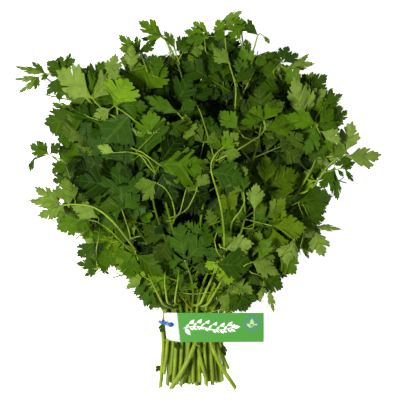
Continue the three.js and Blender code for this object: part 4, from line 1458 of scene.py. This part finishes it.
def card_label():
    """The card round the tie: rounded tab with a slot on the left, green print, pale back."""
    tab = rounded(LABEL_LEFT + TAB_SLANT + TAB_CORNER, TAB_BOTTOM + TAB_CORNER, TAB_CORNER, 180, 270)
    top = rounded(LABEL_LEFT + TAB_CORNER, LABEL_TOP - TAB_CORNER, TAB_CORNER, 90, 180)
    edge = 0.5
    outline = (rounded(LABEL_RIGHT - edge, LABEL_BOTTOM + edge, edge, -90, 0, 4)
               + rounded(LABEL_RIGHT - edge, LABEL_TOP - edge, edge, 0, 90, 4)
               + top + tab + [(TAB_END, LABEL_BOTTOM)])
    slot = [(SLOT_X + SLOT_HALF_LENGTH * math.cos(a), SLOT_Y + SLOT_HALF_WIDTH * math.sin(a))
            for a in np.linspace(0, 2 * math.pi, 29)[:-1]]
    card = flat_outline("card_sheet", [outline, slot])
    bpy.ops.object.mode_set(mode="EDIT")
    for x in list(np.arange(LABEL_LEFT + 1, LABEL_BEND_FROM + 1, 0.8)) + list(np.arange(-12, 55, 6)):
        bpy.ops.mesh.select_all(action="SELECT")
        bpy.ops.mesh.bisect(plane_co=(x, 0, 0), plane_no=(1, 0, 0))
    # the print starts at a slanting line beside the tab
    bpy.ops.mesh.select_all(action="SELECT")
    bpy.ops.mesh.bisect(plane_co=PRINT_START, plane_no=PRINT_SLOPE)
    bpy.ops.mesh.select_all(action="SELECT")
    bpy.ops.mesh.remove_doubles(threshold=0.01)
    bpy.ops.object.mode_set(mode="OBJECT")
    if card.data.polygons[0].normal.z < 0:
        card.data.flip_normals()
    points = corners(card)
    points[:, 2] = card_height(points[:, 0])
    place_corners(card, points)
    apply_modifier(card, "SOLIDIFY", thickness=LABEL_THICKNESS * 0.8, offset=0)
    place_corners(card, metres(corners(card)))
    start, slope = Vector(metres(PRINT_START)), Vector(PRINT_SLOPE)
    card = join_as([card], "card_label_sheet", card_material("printed_card", linear(58, 141, 38)))
    card.data.materials.append(card_material("plain_card", linear(198, 199, 204)))
    for face in card.data.polygons:
        printed = face.normal.z > 0.4 and (face.center - start).dot(slope) > 0
        face.material_index = 0 if printed else 1
    bpy.ops.object.shade_smooth_by_angle(angle=math.radians(40))
    keep(card, "card", "card_label")


def card_material(name, colour):
    """Coated board: even colour with faint fibres and a soft gloss."""
    material, n, shader = new_material(name, Roughness=0.45, Specular_IOR_Level=0.3)
    uneven = mottled(n, mottle, colour, n.mix(0.12, colour, linear(90, 110, 80)), 40.0, 2600.0, 0.6)
    n.feed(shader.inputs["Base Color"], uneven["Colour"])
    bump = n.add("ShaderNodeBump", {"Height": uneven["Height"], "Strength": 0.08,
                                    "Distance": 0.0002})
    n.feed(shader.inputs["Normal"], bump.outputs[0])
    return material


def print_on_card(name, outlines, material, lift=0.0):
    """Flat print from outlines in layout millimetres, a thin closed layer on the card."""
    sheet = flat_outline(name, outlines)
    if sheet.data.polygons[0].normal.z < 0:
        sheet.data.flip_normals()
    apply_modifier(sheet, "SOLIDIFY", thickness=0.03, offset=0)
    points = corners(sheet)
    points[:, 2] += card_height(points[:, 0]) + LABEL_THICKNESS * 0.4 + 0.02 + lift
    place_corners(sheet, metres(points))
    keep(join_as([sheet], name, material), "card")


def leaf_outline(x, y, turn, length, breadth):
    """A pointed leaf: base at a place, tip along a turn in degrees from +Y."""
    shares = np.linspace(0, 1, 9)
    half = breadth * length * np.sin(np.pi * shares ** 0.85) ** 0.9 / 2
    side = list(zip(half, shares * length)) + [(-h, t * length) for h, t in
                                               list(zip(half, shares))[-2:0:-1]]
    angle = math.radians(turn)
    return [(x + px * math.cos(angle) + py * math.sin(angle),
             y - px * math.sin(angle) + py * math.cos(angle)) for px, py in side]


def printed_sprig():
    """A trailing sprig printed in white along the card, and a small round mark beside it."""
    def vine(x):
        return SPRIG_HEIGHT + 1.6 * math.sin((x - SPRIG_START) / 6.5)

    xs = np.linspace(SPRIG_START, SPRIG_END, 33)
    outlines = [[(x, vine(x) + 0.32) for x in xs] + [(x, vine(x) - 0.32) for x in xs[::-1]]]
    for i, x in enumerate(np.linspace(SPRIG_START + 1.5, SPRIG_END - 2, 13)):
        hand = 1 if i % 2 else -1
        outlines.append(leaf_outline(x, vine(x) + 0.5 * hand, 90 - hand * 52, 7.6, 0.46))
        outlines.append(leaf_outline(x + 0.6, vine(x + 0.6) - 0.5 * hand, 90 + hand * 40, 4.2, 0.4))
    outlines.append(leaf_outline(SPRIG_END - 0.2, vine(SPRIG_END), 84, 6.5, 0.46))
    white = card_material("white_print", linear(240, 243, 240))
    print_on_card("card_label_sprig_stem", outlines[:1], white)
    print_on_card("card_label_sprig_leaves", outlines[1:], white, 0.04)
    x, y = MARK
    disc = [(x + (MARK_RADIUS + 0.35 * math.cos(12 * a)) * math.cos(a),
             y + (MARK_RADIUS + 0.35 * math.cos(12 * a)) * math.sin(a))
            for a in np.linspace(0, 2 * math.pi, 97)[:-1]]
    print_on_card("card_label_mark", [disc], card_material("dark_print", linear(64, 130, 98)))
    print_on_card("card_label_mark_leaves",
                  [leaf_outline(x, y - 3.2, turn, length, 0.5)
                   for turn, length in ((0, 7.6), (-58, 5.6), (58, 5.6))],
                  card_material("pale_print", linear(168, 206, 128)), 0.04)


def tie_band():
    """A flat blue band with a raised middle, round the stalks and up through the slot."""
    oval = [(BAND_HALF_WIDTH * math.cos(a), BAND_HALF_HEIGHT * math.sin(a), 0)
            for a in np.radians(range(-165, 106, 15))]
    line = oval + BAND_RISE
    profile = bpy.data.curves.new("band_profile", "CURVE")
    profile.dimensions = "2D"
    half, thick = BAND_WIDTH / 2000, BAND_THICKNESS / 2000
    shape = profile.splines.new("POLY")
    section = [(-1, -0.75), (-0.88, -1), (0.88, -1), (1, -0.75), (1, 0.35), (0.85, 0.6), (0.35, 0.6),
               (0.2, 1.0), (-0.2, 1.0), (-0.35, 0.6), (-0.85, 0.6), (-1, 0.35)]
    shape.points.add(len(section) - 1)
    for point, (across, out) in zip(shape.points, section):
        point.co = (across * half, out * thick, 0, 1)
    shape.use_cyclic_u = True
    profile_piece = bpy.data.objects.new("band_profile", profile)
    bpy.context.scene.collection.objects.link(profile_piece)
    curve = bpy.data.curves.new("tie_band_ribbon", "CURVE")
    curve.dimensions, curve.twist_mode = "3D", "MINIMUM"
    curve.bevel_mode, curve.bevel_object = "OBJECT", profile_piece
    spline = curve.splines.new("BEZIER")
    spline.bezier_points.add(len(line) - 1)
    for point, (x, z, along) in zip(spline.bezier_points, line):
        point.co, point.tilt = metres([TIE[0] + x, TIE[1] + along, TIE[2] + z]), BAND_TILT
        point.handle_left_type = point.handle_right_type = "AUTO"
    spline.use_cyclic_u, spline.resolution_u = True, 5
    ribbon = bpy.data.objects.new("tie_band_ribbon", curve)
    bpy.context.scene.collection.objects.link(ribbon)
    focus(ribbon)
    bpy.ops.object.convert(target="MESH")
    bpy.data.objects.remove(profile_piece)
    material, n, shader = new_material("blue_tie", Roughness=0.38, Specular_IOR_Level=0.4)
    uneven = mottled(n, mottle, linear(40, 104, 176), linear(24, 66, 128), 240.0, 1800.0, 0.6)
    n.feed(shader.inputs["Base Color"], uneven["Colour"])
    bump = n.add("ShaderNodeBump", {"Height": uneven["Height"], "Strength": 0.15,
                                    "Distance": 0.0002})
    n.feed(shader.inputs["Normal"], bump.outputs[0])
    ribbon = join_as([bpy.context.object], "tie_band_ribbon", material)
    bpy.ops.object.mode_set(mode="EDIT")
    bpy.ops.mesh.select_all(action="SELECT")
    bpy.ops.mesh.remove_doubles(threshold=0.00002)
    bpy.ops.mesh.normals_make_consistent(inside=False)
    bpy.ops.object.mode_set(mode="OBJECT")
    bpy.ops.object.shade_smooth_by_angle(angle=math.radians(40))
    keep(ribbon, "tie", "tie_band")


places = bundle_places()
stems = [read_stem(number, places[number]) for number in range(len(STALKS))]
spray_twigs = []  # the stem, line and radius of each twig to a spray's leaflet

mottle = mottle_group()
leaf_finish, stalk_finish = leaf_material(mottle), stalk_material(mottle)
leaflet_patterns = [plain_pattern(number) for number in range(len(LEAFLET_KINDS))]
fine_patterns = [fine_pattern(number) for number in range(6)]
rod_pattern = tube_pattern("stalk_pattern", 10, 20, 0.2)
twig_pattern = tube_pattern("twig_pattern", 6, 4, 0.1)
sprays = [grow_spray(i, *spray, fine_patterns, rod_pattern) for i, spray in enumerate(SPRAYS)]
sprays += grow_strays(fine_patterns, rod_pattern, twig_pattern)
for stem in stems:
    stem.extra = extra_blades(stem)
rim_leaves()
fill_gaps()
for stem in stems:
    dress_stem(stem, leaflet_patterns, fine_patterns, rod_pattern, twig_pattern, leaf_finish,
               stalk_finish)
card_label()
printed_sprig()
tie_band()
for pattern in leaflet_patterns + fine_patterns + [rod_pattern, twig_pattern]:
    bpy.data.objects.remove(pattern)

# ------------------------------------------------------------------ floor, light and camera
deselect()
bpy.ops.mesh.primitive_plane_add(size=6, location=(0, 0, 0))
floor = bpy.context.object
floor.name = "floor"
floor_finish, _, _ = new_material("pale_floor", Base_Color=(0.86, 0.86, 0.86, 1), Roughness=0.9,
                                  Specular_IOR_Level=0.1, Emission_Color=(1, 1, 1, 1),
                                  Emission_Strength=0.92)
floor.data.materials.append(floor_finish)

world = bpy.data.worlds.new("soft_room")
bpy.context.scene.world = world
world.use_nodes = True
world.node_tree.nodes["Background"].inputs["Color"].default_value = (0.97, 0.97, 0.92, 1)
world.node_tree.nodes["Background"].inputs["Strength"].default_value = 0.17


def soft_light(name, place, size, power, colour=(1, 1, 1)):
    bpy.ops.object.light_add(type="AREA", location=place)
    light = bpy.context.object
    light.name = name
    light.data.shape, light.data.size, light.data.energy = "DISK", size, power
    light.data.color = colour
    light.rotation_euler = (Vector((0, 0, 0.05)) - Vector(place)).to_track_quat("-Z", "Y").to_euler()


soft_light("key_light", (-0.6, -0.1, 1.2), 0.3, 24.5, (1.0, 0.98, 0.92))
soft_light("fill_light", (0.5, -0.3, 1.5), 1.2, 3)

# the frame is 348 mm wide at a height of 45 mm in the bunch, seen from straight above
VIEW_WIDTH, VIEW_HEIGHT, VIEW_LEVEL, SENSOR = 0.348, 2.4, 0.045, 36.0
bpy.ops.object.camera_add(location=(SHIFT[0] / 1000, SHIFT[1] / 1000, VIEW_HEIGHT))
camera = bpy.context.object
camera.rotation_euler = (0, 0, 0)
camera.data.sensor_width = SENSOR
camera.data.lens = SENSOR * (VIEW_HEIGHT - VIEW_LEVEL) / VIEW_WIDTH
camera.data.clip_end = 20
bpy.context.scene.camera = camera
bpy.context.scene.view_settings.view_transform = "Standard"
